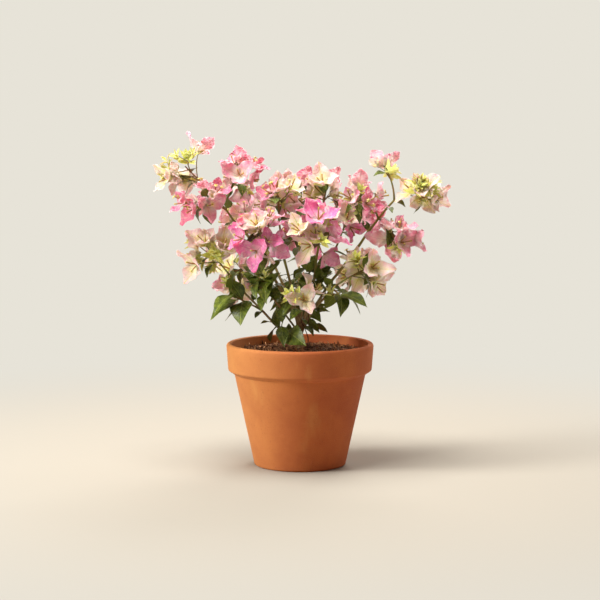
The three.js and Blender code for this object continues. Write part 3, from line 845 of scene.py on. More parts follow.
# Each spray: name, parent and place along it, centre and half sizes of its space, tints of its
# flower heads, tufts of young leaves, leaves, leaf sizes, seed.
sprayTable = [
    ("left_tip", "upper_left_bough", 1, (-155, 6, 406), (44, 34, 46),
     "cream blush pink blush", 2, 5, smallLeaf, 2360837),
    ("left_mid", "upper_left_bough", 1, (-130, -26, 360), (40, 34, 32),
     "pink rose rose", 0, 4, smallLeaf, 1224894),
    ("left_upper", "upper_left_bough", 1, (-82, -6, 398), (34, 34, 32),
     "pink pink rose rose", 0, 5, smallLeaf, 1069120),
    ("left_low", "low_left_arm", 1, (-122, -18, 294), (42, 34, 34),
     "blush cream blush blush", 4, 5, smallLeaf, 193110),
    ("left_leaf", "low_left_bough", 1, (-90, -38, 234), (40, 34, 28), "", 1, 8, bigLeaf, 2567),
    ("foot_leaf", "trunk", 0.36, (-30, -32, 194), (26, 24, 20), "", 0, 7, bigLeaf, 3598),
    ("middle_leaf", "trunk", 0.55, (-50, -34, 250), (34, 30, 28), "", 1, 12, bigLeaf, 427),
    ("centre_left", "centre_left_bough", 1, (-48, -66, 318), (40, 38, 38),
     "hot pink blush hot hot", 0, 4, smallLeaf, 98211),
    ("top_left", "top_left_bough", 1, (-28, -24, 366), (38, 38, 28),
     "rose pink blush cream blush", 0, 4, smallLeaf, 1553908),
    ("top_right", "centre_bough", 1, (34, -12, 374), (36, 36, 30),
     "pink blush pink cream", 1, 4, smallLeaf, 1182784),
    ("centre_front", "centre_bough", 1, (24, -88, 318), (44, 36, 38),
     "hot hot blush hot cream", 1, 4, smallLeaf, 493952),
    ("right_inner", "right_bough", 1, (80, -10, 367), (32, 34, 36),
     "pink pink rose pink", 1, 5, smallLeaf, 680863),
    ("right_tip", "right_arm", 1, (163, 6, 374), (40, 32, 34),
     "cream blush cream blush", 2, 5, smallLeaf, 755983),
    ("right_top", "right_arm", 1, (116, 6, 404), (26, 26, 28),
     "pink", 1, 4, smallLeaf, 494382),
    ("right_mid", "right_bough", 1, (128, -8, 309), (34, 32, 26),
     "pink pink rose", 0, 4, smallLeaf, 1531625),
    ("right_low", "low_right_bough", 1, (90, -28, 271), (36, 32, 28),
     "blush blush cream cream", 2, 4, smallLeaf, 261785),
    ("right_leaf", "low_right_bough", 1, (56, -42, 231), (38, 30, 30), "", 1, 7, bigLeaf, 1613),
    ("front_low", "front_bough", 1, (6, -60, 230), (30, 28, 26),
     "blush cream", 1, 4, smallLeaf, 212835),
    ("heart_leaf", "trunk", 1, (16, -14, 260), (36, 32, 28), "", 0, 12, bigLeaf, 187),
    ("back_left", "back_left_bough", 1, (-66, 66, 332), (44, 42, 42),
     "pink blush pink blush blush", 1, 6, smallLeaf, 45),
    ("back_right", "back_right_bough", 1, (66, 64, 334), (44, 42, 42),
     "blush pink hot rose pink", 1, 6, smallLeaf, 391),
    ("back_top", "top_back_bough", 1, (2, 52, 363), (36, 36, 28),
     "pink blush blush rose", 0, 5, smallLeaf, 200),
    ("back_mid", "back_bough", 1, (0, 90, 314), (42, 36, 36),
     "pink hot pink rose", 1, 6, smallLeaf, 649),
    ("back_low_left", "back_left_bough", 1, (-84, 58, 258), (40, 38, 30),
     "blush pink cream", 1, 7, smallLeaf, 13),
    ("back_low_right", "back_right_bough", 1, (84, 56, 260), (40, 38, 30),
     "cream blush blush", 1, 7, smallLeaf, 164),
    ("back_leaf", "trunk", 0.4, (0, 52, 236), (36, 32, 26), "", 0, 11, bigLeaf, 114),
]

stemRule = {"radii": (1.9, 1.4), "steps": 4, "sides": 3, "inward": 2, "reach": 0.4}
twigRule = {"radii": (1.0, 0.8), "steps": 2, "sides": 3, "first": 0.58, "span": 0.38,
            "reach": (0.3, 0.8), "spread": 0.35, "facing": 0.3, "lift": 0.35, "arch": 0.45}
shoots = 3  # on a spray that carries leaves alone
cupCount = 3
bractRule = {"opening": (38, 62), "length": (27, 34), "width": 0.7, "hub": 2.4}
budRule = {"opening": (36, 58), "length": (11, 17), "width": 0.44, "hub": 1.5}
leafRule = {"place": (0.15, 0.85), "wobble": 0.6, "lean": (40, 70), "droop": (0.1, 0.8), "roll": 0.4,
            "width": 0.56, "facing": 0.5, "rootDepth": 0.4}
kite = {"widest": 0.45, "fold": 0.08, "droop": 0.06, "thickness": 0.9}
shrinkSteps = (1, 0.82, 0.66)
kiteFaces = [(0, 1, 4), (1, 3, 4), (3, 2, 4), (2, 0, 4), (1, 0, 5), (3, 1, 5), (2, 3, 5), (0, 2, 5)]


def readSpray(row):
    name, parent, place, centre, radii, tints, tufts, leafCount, leafLength, seed = row
    return {"name": name + "_spray", "parent": parent, "place": place, "centre": Vector(centre),
            "radii": Vector(radii), "size": sum(radii) / 3, "tints": tints.split(),
            "tufts": tufts, "leafCount": leafCount, "leafLength": leafLength, "seed": seed,
            "outward": (Vector(centre) - crownHeart).normalized()}


# Each spray's space is cut off half way to its neighbours, more from the bigger of the two.
def keepsSpace(spray, sprays, point, gap):
    own = (point - spray["centre"]).length_squared - spray["size"] ** 2
    for other in sprays:
        if other is spray:
            continue
        theirs = (point - other["centre"]).length_squared - other["size"] ** 2
        if theirs - own < 2 * gap * (spray["centre"] - other["centre"]).length:
            return False
    return True


def sprayStem(spray, limbs, steps):
    base, parentWay = along(limbs[spray["parent"]]["path"], spray["place"])
    inward = spray["centre"] - base
    distance = inward.length
    inward = inward / distance
    leaving = inward if spray["place"] < 1 else parentWay
    leaving = (leaving + inward * stemRule["inward"]).normalized()
    return bend(base, base + leaving * (stemRule["reach"] * distance), spray["centre"], steps)


# A twig from its foot out to a tip in the spray's space.
def aimTwig(spray, foot, way, reach, rule):
    way = (way + spray["outward"] * rule["spread"]).normalized()
    tip = spray["centre"] + Vector(r * w for r, w in zip(spray["radii"], way)) * reach
    face = (way + spray["outward"] * rule["facing"] + up * rule["lift"]).normalized()
    return {"foot": foot, "control": tip - face * (rule["arch"] * (foot - tip).length), "tip": tip,
            "face": face}


def growTwigs(spray, stem, dice):
    heads = len(spray["tints"])
    count = heads + spray["tufts"] or shoots
    twigs = []
    for i in range(count):
        turn = dice.between(0, 2 * math.pi)
        rise = dice.between(-1, 1)
        reach = dice.between(*twigRule["reach"])
        foot = along(stem, twigRule["first"] + twigRule["span"] * (i + 0.5) / count)[0]
        twig = aimTwig(spray, foot, wayAt(turn, rise), reach, twigRule)
        twig["path"] = bend(foot, twig["control"], twig["tip"], twigRule["steps"])
        twig["carries"] = bractRule if i < heads else budRule if heads + spray["tufts"] else None
        twig["tint"] = spray["tints"][i] if i < heads else None
        twigs.append(twig)
    return twigs


# The run and the upper face of a blade that leans out from a twig's direction.
def leaning(face, out, angle):
    return {"way": face * math.cos(angle) + out * math.sin(angle),
            "top": face * math.sin(angle) - out * math.cos(angle)}


def growCup(twig, dice):
    side, other = squareTo(twig["face"])
    roll = dice.between(0, 2 * math.pi)
    cup = []
    for k in range(cupCount):
        turn = roll + k * 2 * math.pi / cupCount + dice.between(-0.05, 0.05)
        angle = math.radians(dice.between(*twig["carries"]["opening"]))
        cup.append({"on": twig, "root": twig["tip"],
                    **leaning(twig["face"], outAt(side, other, turn), angle),
                    "length": dice.between(*twig["carries"]["length"]),
                    "width": twig["carries"]["width"]})
    return cup


def growLeaves(spray, stem, twigs, dice):
    carriers = [None, *twigs]
    leaves = []
    for j in range(spray["leafCount"]):
        twig = carriers[j % len(carriers)]
        place = dice.between(*leafRule["place"])
        turn = j * goldenAngle + dice.between(-leafRule["wobble"], leafRule["wobble"])
        lean = math.radians(dice.between(*leafRule["lean"]))
        droop = dice.between(*leafRule["droop"])
        length = dice.between(*spray["leafLength"])
        roll = dice.between(-leafRule["roll"], leafRule["roll"])
        point, direction = along(twig["path"] if twig else stem, place)
        side, other = squareTo(direction)
        way = (direction * math.cos(lean) + side * (math.cos(turn) * math.sin(lean))
               + other * (math.sin(turn) * math.sin(lean)) - up * droop).normalized()
        leaves.append(leafAt(point, way, spray["outward"], roll, length, twig))
    return leaves


# A leaf that turns its upper face to the sky and outwards.
def leafAt(point, way, outward, roll, length, twig):
    sky = up + outward * leafRule["facing"]
    flatTop = (sky - way * sky.dot(way)).normalized()
    top = flatTop * math.cos(roll) + way.cross(flatTop) * math.sin(roll)
    return {"on": twig, "root": point - way * leafRule["rootDepth"], "way": way, "top": top,
            "length": length, "width": leafRule["width"]}


def kitePoints(leaf, scale):
    size = leaf["length"] * scale
    root, way, top = leaf["root"], leaf["way"], leaf["top"]
    across = way.cross(top) * (size * leaf["width"] / 2)
    middle = root + way * (kite["widest"] * size)
    raised = middle + top * (kite["fold"] * size)
    half = top * (kite["thickness"] / 2)
    tip = root + way * size - top * (kite["droop"] * size)
    return [root, raised + across, raised - across, tip, middle + half, middle - half]


def kiteTree(leaf, scale):
    return BVHTree.FromPolygons(kitePoints(leaf, scale), kiteFaces)


def taperedTube(path, radii, extra, sides):
    return tubeShell(path, lambda share, index, turn: radii[0] + (radii[1] - radii[0]) * share + extra,
                     sides)


# Grows one spray by the rule of its solid: which twigs, cups and leaves it keeps, at what scale.
def growSpray(spray, sprays, limbs, obstacles):
    dice = Dice(spray["seed"])
    stem = sprayStem(spray, limbs, stemRule["steps"])
    placed = []

    def fits(leaf, scale):
        points = kitePoints(leaf, scale)
        inside = all(p.z > lowestBlade and keepsSpace(spray, sprays, p, clearance) for p in points)
        return inside and not kiteTree(leaf, scale).overlap(obstacles)

    def isClear(leaf, scale):
        tree = kiteTree(leaf, scale)
        return all(on is leaf["on"] or not tree.overlap(other) for on, other in placed)

    def place(leaf, scale):
        placed.append((leaf["on"], kiteTree(leaf, scale)))
        return {**leaf, "length": leaf["length"] * scale}

    twigs = growTwigs(spray, stem, dice)
    cups = [growCup(twig, dice) if twig["carries"] else [] for twig in twigs]
    leaves = growLeaves(spray, stem, twigs, dice)
    spray["stem"] = stem
    spray["fits"] = fits
    spray["twigs"] = []
    spray["leaves"] = []
    for twig, cup in zip(twigs, cups):
        margin = clearance + (twig["carries"]["hub"] if twig["carries"] else twigRule["radii"][0])
        tube = taperedTube(twig["path"], twigRule["radii"], 0, twigRule["sides"])
        if not all(keepsSpace(spray, sprays, p, margin) for p in twig["path"]):
            continue
        if BVHTree.FromPolygons(*tube).overlap(obstacles):
            continue
        twig["blades"] = []
        for leaf in cup:
            fitting = [scale for scale in shrinkSteps if fits(leaf, scale)]
            clear = [scale for scale in fitting if isClear(leaf, scale)]
            if fitting:
                twig["blades"].append(place(leaf, clear[0] if clear else fitting[-1]))
        spray["twigs"].append(twig)
    for leaf in leaves:
        if leaf["on"] and leaf["on"] not in spray["twigs"]:
            continue
        scale = next((s for s in shrinkSteps if fits(leaf, s) and isClear(leaf, s)), 0)
        if scale:
            spray["leaves"].append(place(leaf, scale))


def growPlant(limbs):
    sprays = [readSpray(row) for row in sprayTable]
    limbTubes = [tubeShell(limb["path"], limbRadius(name, limb["radii"], clearance),
                           cane["guardSides"])
                 for name, limb in limbs.items()]
    stemTubes = [taperedTube(sprayStem(spray, limbs, stemRule["steps"]), stemRule["radii"],
                             2 * clearance, stemRule["sides"]) for spray in sprays]
    for i, spray in enumerate(sprays):
        others = [tube for k, tube in enumerate(stemTubes) if k != i]
        obstacles = BVHTree.FromPolygons(*joinShells(limbTubes + others))
        growSpray(spray, sprays, limbs, obstacles)
    print("sprays grown:", sum(len(s["twigs"]) for s in sprays), "twigs,",
          sum(len(s["leaves"]) for s in sprays), "leaves")
    return sprays


# Radii at root and tip, and steps, of the stalks as they are drawn.
stalks = {"stem": ((1.5, 0.95), 10), "twig": ((0.85, 0.55), 7), "extraTwig": ((0.85, 0.55), 6),
          "sprout": ((0.5, 0.32), 4), "sides": 6}

# How many heads a spray gains, as a share of its own. Those that stand out gain fewer.
extraHeads = {"usual": 1.4, "left_tip_spray": 0, "left_low_spray": 0.5, "right_tip_spray": 0.25,
              "right_top_spray": 0.5, "right_low_spray": 0.5, "front_low_spray": 0}
extraRule = {"along": (0.45, 0.95), "reach": (0.2, 0.8), "spread": 0.3, "facing": 0.4, "lift": 0.35,
             "arch": 0.45, "tries": 40, "spacing": 15.5, "margin": 2.5, "scales": (0.9, 0.75, 0.6)}

tufts = {
    "airy": {"count": 12, "lengths": (9, 22), "run": 11, "ahead": 2},  # on the sprays that stand out
    "inner": {"count": 8, "lengths": (7, 17), "run": 11, "ahead": 2},
    "side": {"count": 5, "lengths": (7, 17), "run": 7},
    "sprout": {"count": 6, "lengths": (7, 17), "run": 6},
}
collar = {"lengths": (9, 16), "run": 2.5, "below": 3}  # under each head
tuftShape = {"turnWobble": 0.3, "outerLean": 68, "leanChange": 54, "leanWobble": 10,
             "shortening": (0.7, 1)}
collarCounts = {"cream": 4, "blush": 3, "pink": 1, "rose": 1, "hot": 0}


# Small leaves up the last run of a shoot, the inner ones shorter and more upright.
def tuftAt(tip, face, kind, dice):
    side, other = squareTo(face)
    shortest, longest = kind["lengths"]
    blades = []
    for k in range(kind["count"]):
        wobble = dice.between(-tuftShape["turnWobble"], tuftShape["turnWobble"])
        out = outAt(side, other, k * goldenAngle + wobble)
        share = (k + 0.5) / kind["count"]
        lean = tuftShape["outerLean"] - tuftShape["leanChange"] * share
        lean = lean + dice.between(-tuftShape["leanWobble"], tuftShape["leanWobble"])
        length = longest + (shortest - longest) * share * dice.between(*tuftShape["shortening"])
        blades.append({"root": tip - face * (kind["run"] * (1 - share)), "length": length,
                       **leaning(face, out, math.radians(lean))})
    return blades


# The largest of some scales at which a leaf keeps to its spray's space, or 0.
def largestFit(spray, leaf, scales):
    return next((scale for scale in scales if spray["fits"](leaf, scale)), 0)


# Everything that grows on the sprays' own twigs: each kind apart, ready to be set.
def growFiner(sprays, limbs):
    grown = {"stalks": [], "limeLeaves": [], "greenLeaves": [], "flowers": [], "stars": [],
             "bracts": {tint: [] for tint in bractTints}}
    stemRadii, stemSteps = stalks["stem"]
    twigRadii, twigSteps = stalks["twig"]
    for spray in sprays:
        dice = Dice(spray["seed"] + 7)
        grown["stalks"].append((sprayStem(spray, limbs, stemSteps), stemRadii))
        for twig in spray["twigs"]:
            path = bend(twig["foot"], twig["control"], twig["tip"], twigSteps)
            grown["stalks"].append((path, twigRadii))
            if twig["carries"] is bractRule:
                dressHead(grown, twig, twig["blades"], dice)
            elif twig["carries"] is budRule:
                grown["limeLeaves"].extend(twig["blades"])
                kind = tufts["airy" if spray["name"] in extraHeads else "inner"]
                tip = twig["tip"] + twig["face"] * kind["ahead"]
                grown["limeLeaves"].extend(tuftAt(tip, twig["face"], kind, dice))
                if spray["name"] in ("left_tip_spray", "right_tip_spray"):
                    addSideTufts(grown, spray, twig, dice)
        grown["greenLeaves"].extend(spray["leaves"])
        addHeads(grown, spray, sprays, dice)
        addSprouts(grown, spray, dice)
        addLeafyShoots(grown, spray, dice)
    addCaneLeaves(grown, limbs)
    return grown


# Bracts, slender flowers and a collar of young leaves on one twig.
def dressHead(grown, twig, blades, dice):
    grown["bracts"][twig["tint"]].extend(blades)
    addFlowers(grown, twig, dice)
    tip = twig["tip"] - twig["face"] * collar["below"]
    kind = {**collar, "count": collarCounts[twig["tint"]]}
    grown["limeLeaves"].extend(tuftAt(tip, twig["face"], kind, dice))


sideTufts = {"count": 3, "below": 5, "length": (11, 18), "forward": 0.7, "room": 6, "width": 0.4}


# Side shoots round a tuft of young leaves, each with a smaller tuft.
def addSideTufts(grown, spray, twig, dice):
    side, other = squareTo(twig["face"])
    roll = dice.between(0, 2 * math.pi)
    for k in range(sideTufts["count"]):
        out = outAt(side, other, roll + k * 2 * math.pi / sideTufts["count"])
        way = (twig["face"] * sideTufts["forward"] + out).normalized()
        foot = twig["tip"] - twig["face"] * sideTufts["below"]
        tip = foot + way * dice.between(*sideTufts["length"])
        if hasRoom(spray, foot, way, (tip - foot).length, sideTufts):
            grown["stalks"].append(([foot, foot.lerp(tip, 0.5), tip], stalks["sprout"][0]))
            face = (way + twig["face"]).normalized()
            grown["limeLeaves"].extend(tuftAt(tip, face, tufts["side"], dice))


# Whether a shoot and the tuft at its end keep to the spray's space.
def hasRoom(spray, foot, way, length, rule):
    reach = {"root": foot, "way": way, "top": squareTo(way)[1], "length": length + rule["room"],
             "width": rule["width"]}
    return spray["fits"](reach, 1)


# More flower heads on twigs of their own, where the spray's space has room for them.
def addHeads(grown, spray, sprays, dice):
    if not spray["tints"]:
        return
    wanted = round(len(spray["tints"]) * extraHeads.get(spray["name"], extraHeads["usual"]))
    middles = [twig["tip"] for twig in spray["twigs"]]
    radii, steps = stalks["extraTwig"]
    for _ in range(extraRule["tries"]):
        if wanted == 0:
            return
        turn = dice.between(0, 2 * math.pi)
        rise = dice.between(-1, 1)
        reach = dice.between(*extraRule["reach"])
        foot = along(spray["stem"], dice.between(*extraRule["along"]))[0]
        roll = dice.whole(1000)
        twig = aimTwig(spray, foot, wayAt(turn, rise), reach, extraRule)
        twig["carries"] = bractRule
        twig["tint"] = spray["tints"][roll % len(spray["tints"])]
        if any((twig["tip"] - other).length < extraRule["spacing"] for other in middles):
            continue
        path = bend(foot, twig["control"], twig["tip"], 3)
        if not all(keepsSpace(spray, sprays, p, extraRule["margin"]) for p in path):
            continue
        cup = growCup(twig, Dice(spray["seed"] + roll))
        sizes = [largestFit(spray, leaf, extraRule["scales"]) for leaf in cup]
        if 0 in sizes:
            continue
        wanted -= 1
        middles.append(twig["tip"])
        grown["stalks"].append((bend(foot, twig["control"], twig["tip"], steps), radii))
        blades = [{**leaf, "length": leaf["length"] * size} for leaf, size in zip(cup, sizes)]
        dressHead(grown, twig, blades, dice)


# Short shoots with a few leaves, which close up the sprays that carry no flowers.
leafyShoots = {
    "counts": {"heart_leaf_spray": 14, "middle_leaf_spray": 8, "back_leaf_spray": 6},
    "foot": (0.2, 0.9),
    "forward": 0.6,
    "spread": 0.5,
    "arch": 2,
    "length": (12, 24),
    "leaves": 4,
    "leafLength": (24, 44),
    "leafStep": 0.24,  # between two leaves, as a share of the shoot
    "leafTurn": 2.4,
    "wobble": 0.5,
    "roll": 0.4,
    "lean": (45, 70),
    "endLean": 20,
    "droop": (0.1, 0.9),
    "scales": (1, 0.8, 0.64),
}


def addLeafyShoots(grown, spray, dice):
    radii, steps = stalks["sprout"]
    carriers = [spray["stem"], *(twig["path"] for twig in spray["twigs"])]
    for k in range(leafyShoots["counts"].get(spray["name"], 0)):
        foot, direction = along(carriers[k % len(carriers)], dice.between(*leafyShoots["foot"]))
        side, other = squareTo(direction)
        turn = dice.between(0, 2 * math.pi)
        way = (direction * leafyShoots["forward"] + side * math.cos(turn) + other * math.sin(turn)
               + spray["outward"] * leafyShoots["spread"]).normalized()
        tip = foot + way * dice.between(*leafyShoots["length"])
        path = bend(foot, foot.lerp(tip, 0.5) + up * leafyShoots["arch"], tip, steps)
        kept = []
        for j in range(leafyShoots["leaves"]):
            point, ahead = along(path, 1 - leafyShoots["leafStep"] * j)
            side, other = squareTo(ahead)
            turn = j * leafyShoots["leafTurn"]
            turn = turn + dice.between(-leafyShoots["wobble"], leafyShoots["wobble"])
            angle = dice.between(*leafyShoots["lean"]) if j else leafyShoots["endLean"]
            aim = leaning(ahead, outAt(side, other, turn), math.radians(angle))["way"]
            aim = (aim - up * dice.between(*leafyShoots["droop"])).normalized()
            roll = dice.between(-leafyShoots["roll"], leafyShoots["roll"])
            length = dice.between(*leafyShoots["leafLength"])
            leaf = leafAt(point, aim, spray["outward"], roll, length, None)
            scale = largestFit(spray, leaf, leafyShoots["scales"])
            if scale:
                kept.append({**leaf, "length": leaf["length"] * scale})
        if kept:
            grown["stalks"].append((path, radii))
            grown["greenLeaves"].extend(kept)


caneLeaves = {"length": (17, 28), "wobble": 0.4, "droop": (0, 0.7), "forward": 0.7, "roll": 0.3,
              "bare": 0.3}  # the share of nodes without a leaf


# A small leaf at most nodes of the canes, turned on by the golden angle from one to the next.
def addCaneLeaves(grown, limbs):
    for order, (name, limb) in enumerate(limbs.items()):
        if name == "trunk":
            continue
        dice = Dice(order + 70)
        for k in range(1, len(limb["path"])):
            point, direction = along(limb["path"], k / (len(limb["path"]) - 1))
            length = dice.between(*caneLeaves["length"])
            turn = k * goldenAngle + order + dice.between(-caneLeaves["wobble"], caneLeaves["wobble"])
            droop = dice.between(*caneLeaves["droop"])
            if dice.next() < caneLeaves["bare"]:
                continue
            side, other = squareTo(direction)
            out = outAt(side, other, turn)
            way = (direction * caneLeaves["forward"] + out - up * droop).normalized()
            roll = dice.between(-caneLeaves["roll"], caneLeaves["roll"])
            grown["greenLeaves"].append(leafAt(point, way, out, roll, length, None))


flowers = {"counts": (2, 3), "lean": (8, 24), "offset": 0.8, "length": (13, 18), "open": 0.36}


# Slender flowers in the cup, of which a few open into a star.
def addFlowers(grown, twig, dice):
    side, other = squareTo(twig["face"])
    roll = dice.between(0, 2 * math.pi)
    fewest, most = flowers["counts"]
    for k in range(fewest + dice.whole(most - fewest + 1)):
        out = outAt(side, other, roll + k * 2 * math.pi / most)
        angle = math.radians(dice.between(*flowers["lean"]))
        flower = {"root": twig["tip"] + out * flowers["offset"],
                  "length": dice.between(*flowers["length"]), **leaning(twig["face"], out, angle)}
        grown["flowers"].append(flower)
        if dice.next() < flowers["open"]:
            grown["stars"].append(flower)


sprouts = {"count": 3, "foot": (0.3, 0.75), "rise": 0.3, "facing": 0.3, "lift": 0.2,
           "length": (9, 17), "room": 8, "width": 0.5,
           "airyHeads": 0.25, "innerHeads": 0.5,  # the shares that end in a young flower
           "head": {"opening": (12, 30), "length": (12, 19), "width": 0.6}}


# Side shoots that end in a half-open young flower or a tuft of young leaves.
def addSprouts(grown, spray, dice):
    if not spray["twigs"] or not spray["tints"]:
        return
    radii, steps = stalks["sprout"]
    headShare = sprouts["airyHeads" if spray["name"] in extraHeads else "innerHeads"]
    for _ in range(sprouts["count"]):
        twig = spray["twigs"][dice.whole(len(spray["twigs"]))]
        foot, direction = along(bend(twig["foot"], twig["control"], twig["tip"], stalks["twig"][1]),
                                dice.between(*sprouts["foot"]))
        side, other = squareTo(direction)
        turn = dice.between(0, 2 * math.pi)
        way = (direction + side * math.cos(turn) + other * math.sin(turn)
               + up * sprouts["rise"]).normalized()
        tip = foot + way * dice.between(*sprouts["length"])
        if not hasRoom(spray, foot, way, (tip - foot).length, sprouts):
            continue
        face = (way + spray["outward"] * sprouts["facing"] + up * sprouts["lift"]).normalized()
        grown["stalks"].append((bend(foot, foot.lerp(tip, 0.5) + up, tip, steps), radii))
        if dice.next() < headShare:
            tint = "blush" if dice.next() < 0.5 else "cream"
            shoot = {"tip": tip, "face": face, "carries": sprouts["head"]}
            grown["bracts"][tint].extend(growCup(shoot, dice))
        else:
            grown["limeLeaves"].extend(tuftAt(tip, face, tufts["sprout"], dice))


# Outlines and bends of one blade, as shares of its length. A stalk is the narrow first part.
bladeForms = {
    "bract": {"rows": 11, "halves": 2, "width": 0.76, "shoulder": 0.56, "point": 0.72, "stalk": 0,
              "fold": 0.2, "cup": 0.2, "arch": -0.09, "droop": 0.05, "ripple": 0.085,
              "thickness": 0.010},
    "leaf": {"rows": 10, "halves": 2, "width": 0.58, "shoulder": 0.68, "point": 1.12, "stalk": 0.12,
             "fold": 0.16, "cup": 0.02, "arch": 0.08, "droop": 0.16, "ripple": 0.022,
             "thickness": 0.010},
    "youngLeaf": {"rows": 6, "halves": 1, "width": 0.44, "shoulder": 0.6, "point": 0.9,
                  "stalk": 0.04, "fold": 0.22, "cup": 0.0, "arch": 0.04, "droop": 0.12,
                  "ripple": 0.0, "thickness": 0.028},
}
bladeSeeds = {"hotBracts": 31, "roseBracts": 32, "pinkBracts": 33, "blushBracts": 34,
              "creamBracts": 35, "greenLeaves": 41, "youngLeaves": 42, "flowerTubes": 43,
              "flowerStars": 43}  # a star has to draw the variant that its tube draws
kindCount = 4  # variants of each blade, which stand side by side in its UV map
tileEdge = 0.03
stalkWidth = 0.018
tipNarrowing = 0.35
rippleRate = 11
droopPower = 2.2
variety = {"wide": (0.86, 1.06), "cup": (0.5, 1.5), "droop": (0.2, 1.9), "twist": (-0.25, 0.25)}


def bladeKind(name, form, column):
    dice = Dice(column * 17 + 5)
    rows, halves = form["rows"], form["halves"]
    wide = form["width"] / 2 * dice.between(*variety["wide"])
    cup = form["cup"] * dice.between(*variety["cup"])
    droop = form["droop"] * dice.between(*variety["droop"])
    twist = dice.between(*variety["twist"])
    phase = dice.between(0, 6.28)
    peakPlace = form["shoulder"] / (form["shoulder"] + form["point"])
    peak = peakPlace ** form["shoulder"] * (1 - peakPlace) ** form["point"]

    def halfWidth(run):
        share = (run - form["stalk"]) / (1 - form["stalk"])
        if share <= 0:
            return stalkWidth
        full = share ** form["shoulder"] * (1 - share) ** form["point"] / peak
        return max(stalkWidth, wide * full * (1 - tipNarrowing * share ** 5))

    def place(run, share, below):
        x = share * halfWidth(run)
        wave = math.sin(phase + rippleRate * run + (2 if share > 0 else 0))
        lift = form["fold"] * abs(x) + cup * x * x / wide - droop * run ** droopPower
        lift += form["arch"] * math.sin(math.pi * run)
        lift += form["ripple"] * share * share * wave
        lift += twist * x * run - below
        return Vector((x, run, lift))

    vertices = []
    marks = []  # each vertex's place across and along the blade

    def put(run, share, below=0):
        vertices.append(place(run, share, below))
        marks.append((share * halfWidth(run) / form["width"], run))
        return len(vertices) - 1

    def spread(share):
        return (1 - math.cos(math.pi * share)) / 2 * 0.5 + share * 0.5

    root = put(0, 0)
    tip = put(1, 0)
    above = []
    below = []
    for i in range(1, rows):
        run = spread(i / rows)
        above.append([put(run, j / halves) for j in range(-halves, halves + 1)])
        inner = [put(run, j / halves, form["thickness"]) for j in range(1 - halves, halves)]
        below.append([above[-1][0], *inner, above[-1][-1]])

    faces = []
    for grid, isTop in ((above, True), (below, False)):
        for j in range(2 * halves):
            strip = [(root, grid[0][j + 1], grid[0][j])]
            for i in range(len(grid) - 1):
                strip.append((grid[i][j], grid[i][j + 1], grid[i + 1][j + 1], grid[i + 1][j]))
            strip.append((grid[-1][j], grid[-1][j + 1], tip))
            for face in strip:
                faces.append((face if isTop else tuple(reversed(face)), isTop))

    mesh = meshOf(name, vertices, [face for face, _ in faces], 1)

    def spotOf(vertex, polygon):
        x, run = marks[vertex]
        return ((column + 0.5 + x * (1 - 2 * tileEdge)) / kindCount,
                (tileEdge + run * (1 - 2 * tileEdge)) / 2 + (0 if faces[polygon][1] else 0.5))

    mapCorners(mesh, spotOf)
    sharpen(mesh, [isTop for _, isTop in faces], lambda a, b: a != b)
    return bpy.data.objects.new(name, mesh)


# Puts each face corner in the blades' map, by the numbers of its point and its face.
def mapCorners(mesh, spotOf):
    layer = mesh.uv_layers.new(name=bakeMap)
    for polygon in mesh.polygons:
        for loop in polygon.loop_indices:
            layer.data[loop].uv = spotOf(mesh.loops[loop].vertex_index, polygon.index)


flowerForm = {
    "lean": 0.12,
    "hang": 0.05,
    "stations": (0, 0.15, 0.35, 0.6, 0.85, 1.0),
    "radii": (0.040, 0.060, 0.056, 0.050, 0.062, 0.074),
    "starRadius": (0.21, 0.26),
    "starSteps": 20,
    "starPoints": 5,
}


# The slender tube of a flower, and below it the star that it opens into, along a length of one.
def tubeKind(name, column):
    lean = Dice(column + 40).between(-flowerForm["lean"], flowerForm["lean"])
    path = [Vector((lean * t * t, t, -flowerForm["hang"] * t * t)) for t in flowerForm["stations"]]
    vertices, faces = tubeShell(path, lambda share, index, turn: flowerForm["radii"][index], 6)
    mesh = meshOf(name, vertices, faces, 1)

    def spotOf(vertex, polygon):
        point = mesh.vertices[vertex].co
        return (column + 0.5 + point.z) / kindCount, 0.05 + 0.9 * point.y

    mapCorners(mesh, spotOf)
    return bpy.data.objects.new(name, mesh)


def starKind(name, column):
    dice = Dice(column + 40)
    lean = dice.between(-flowerForm["lean"], flowerForm["lean"])
    wide = dice.between(*flowerForm["starRadius"])
    hang = -flowerForm["hang"]
    steps = flowerForm["starSteps"]
    vertices = [Vector((lean, 0.995, hang)), Vector((lean, 0.93, hang))]
    for k in range(steps):
        turn = 2 * math.pi * k / steps
        radius = wide * (0.62 + 0.38 * math.cos(flowerForm["starPoints"] * turn))
        vertices.append(Vector((lean + radius * math.cos(turn), 1.02 - 0.25 * radius,
                                hang + radius * math.sin(turn))))
    faces = []
    for k in range(steps):
        turned = (k + 1) % steps
        faces.extend([(0, 2 + turned, 2 + k), (1, 2 + k, 2 + turned)])
    mesh = meshOf(name, vertices, faces, 1)

    def spotOf(vertex, polygon):
        point = mesh.vertices[vertex].co
        return (column + 0.5 + point.x - lean) / kindCount, 0.5 + point.z

    mapCorners(mesh, spotOf)
    return bpy.data.objects.new(name, mesh)


def bladeTree():
    growth = Growth("bladesOnTwigs", {"Roots": "Geometry", "Blades": "Collection",
                                      "Finish": "Material"})
    growth.setOut(growth.given("Roots"), growth.given("Blades"), growth.attribute("kind", "INT"),
                  growth.attribute("turned", "FLOAT_VECTOR"), growth.attribute("size", "FLOAT"))
    return growth


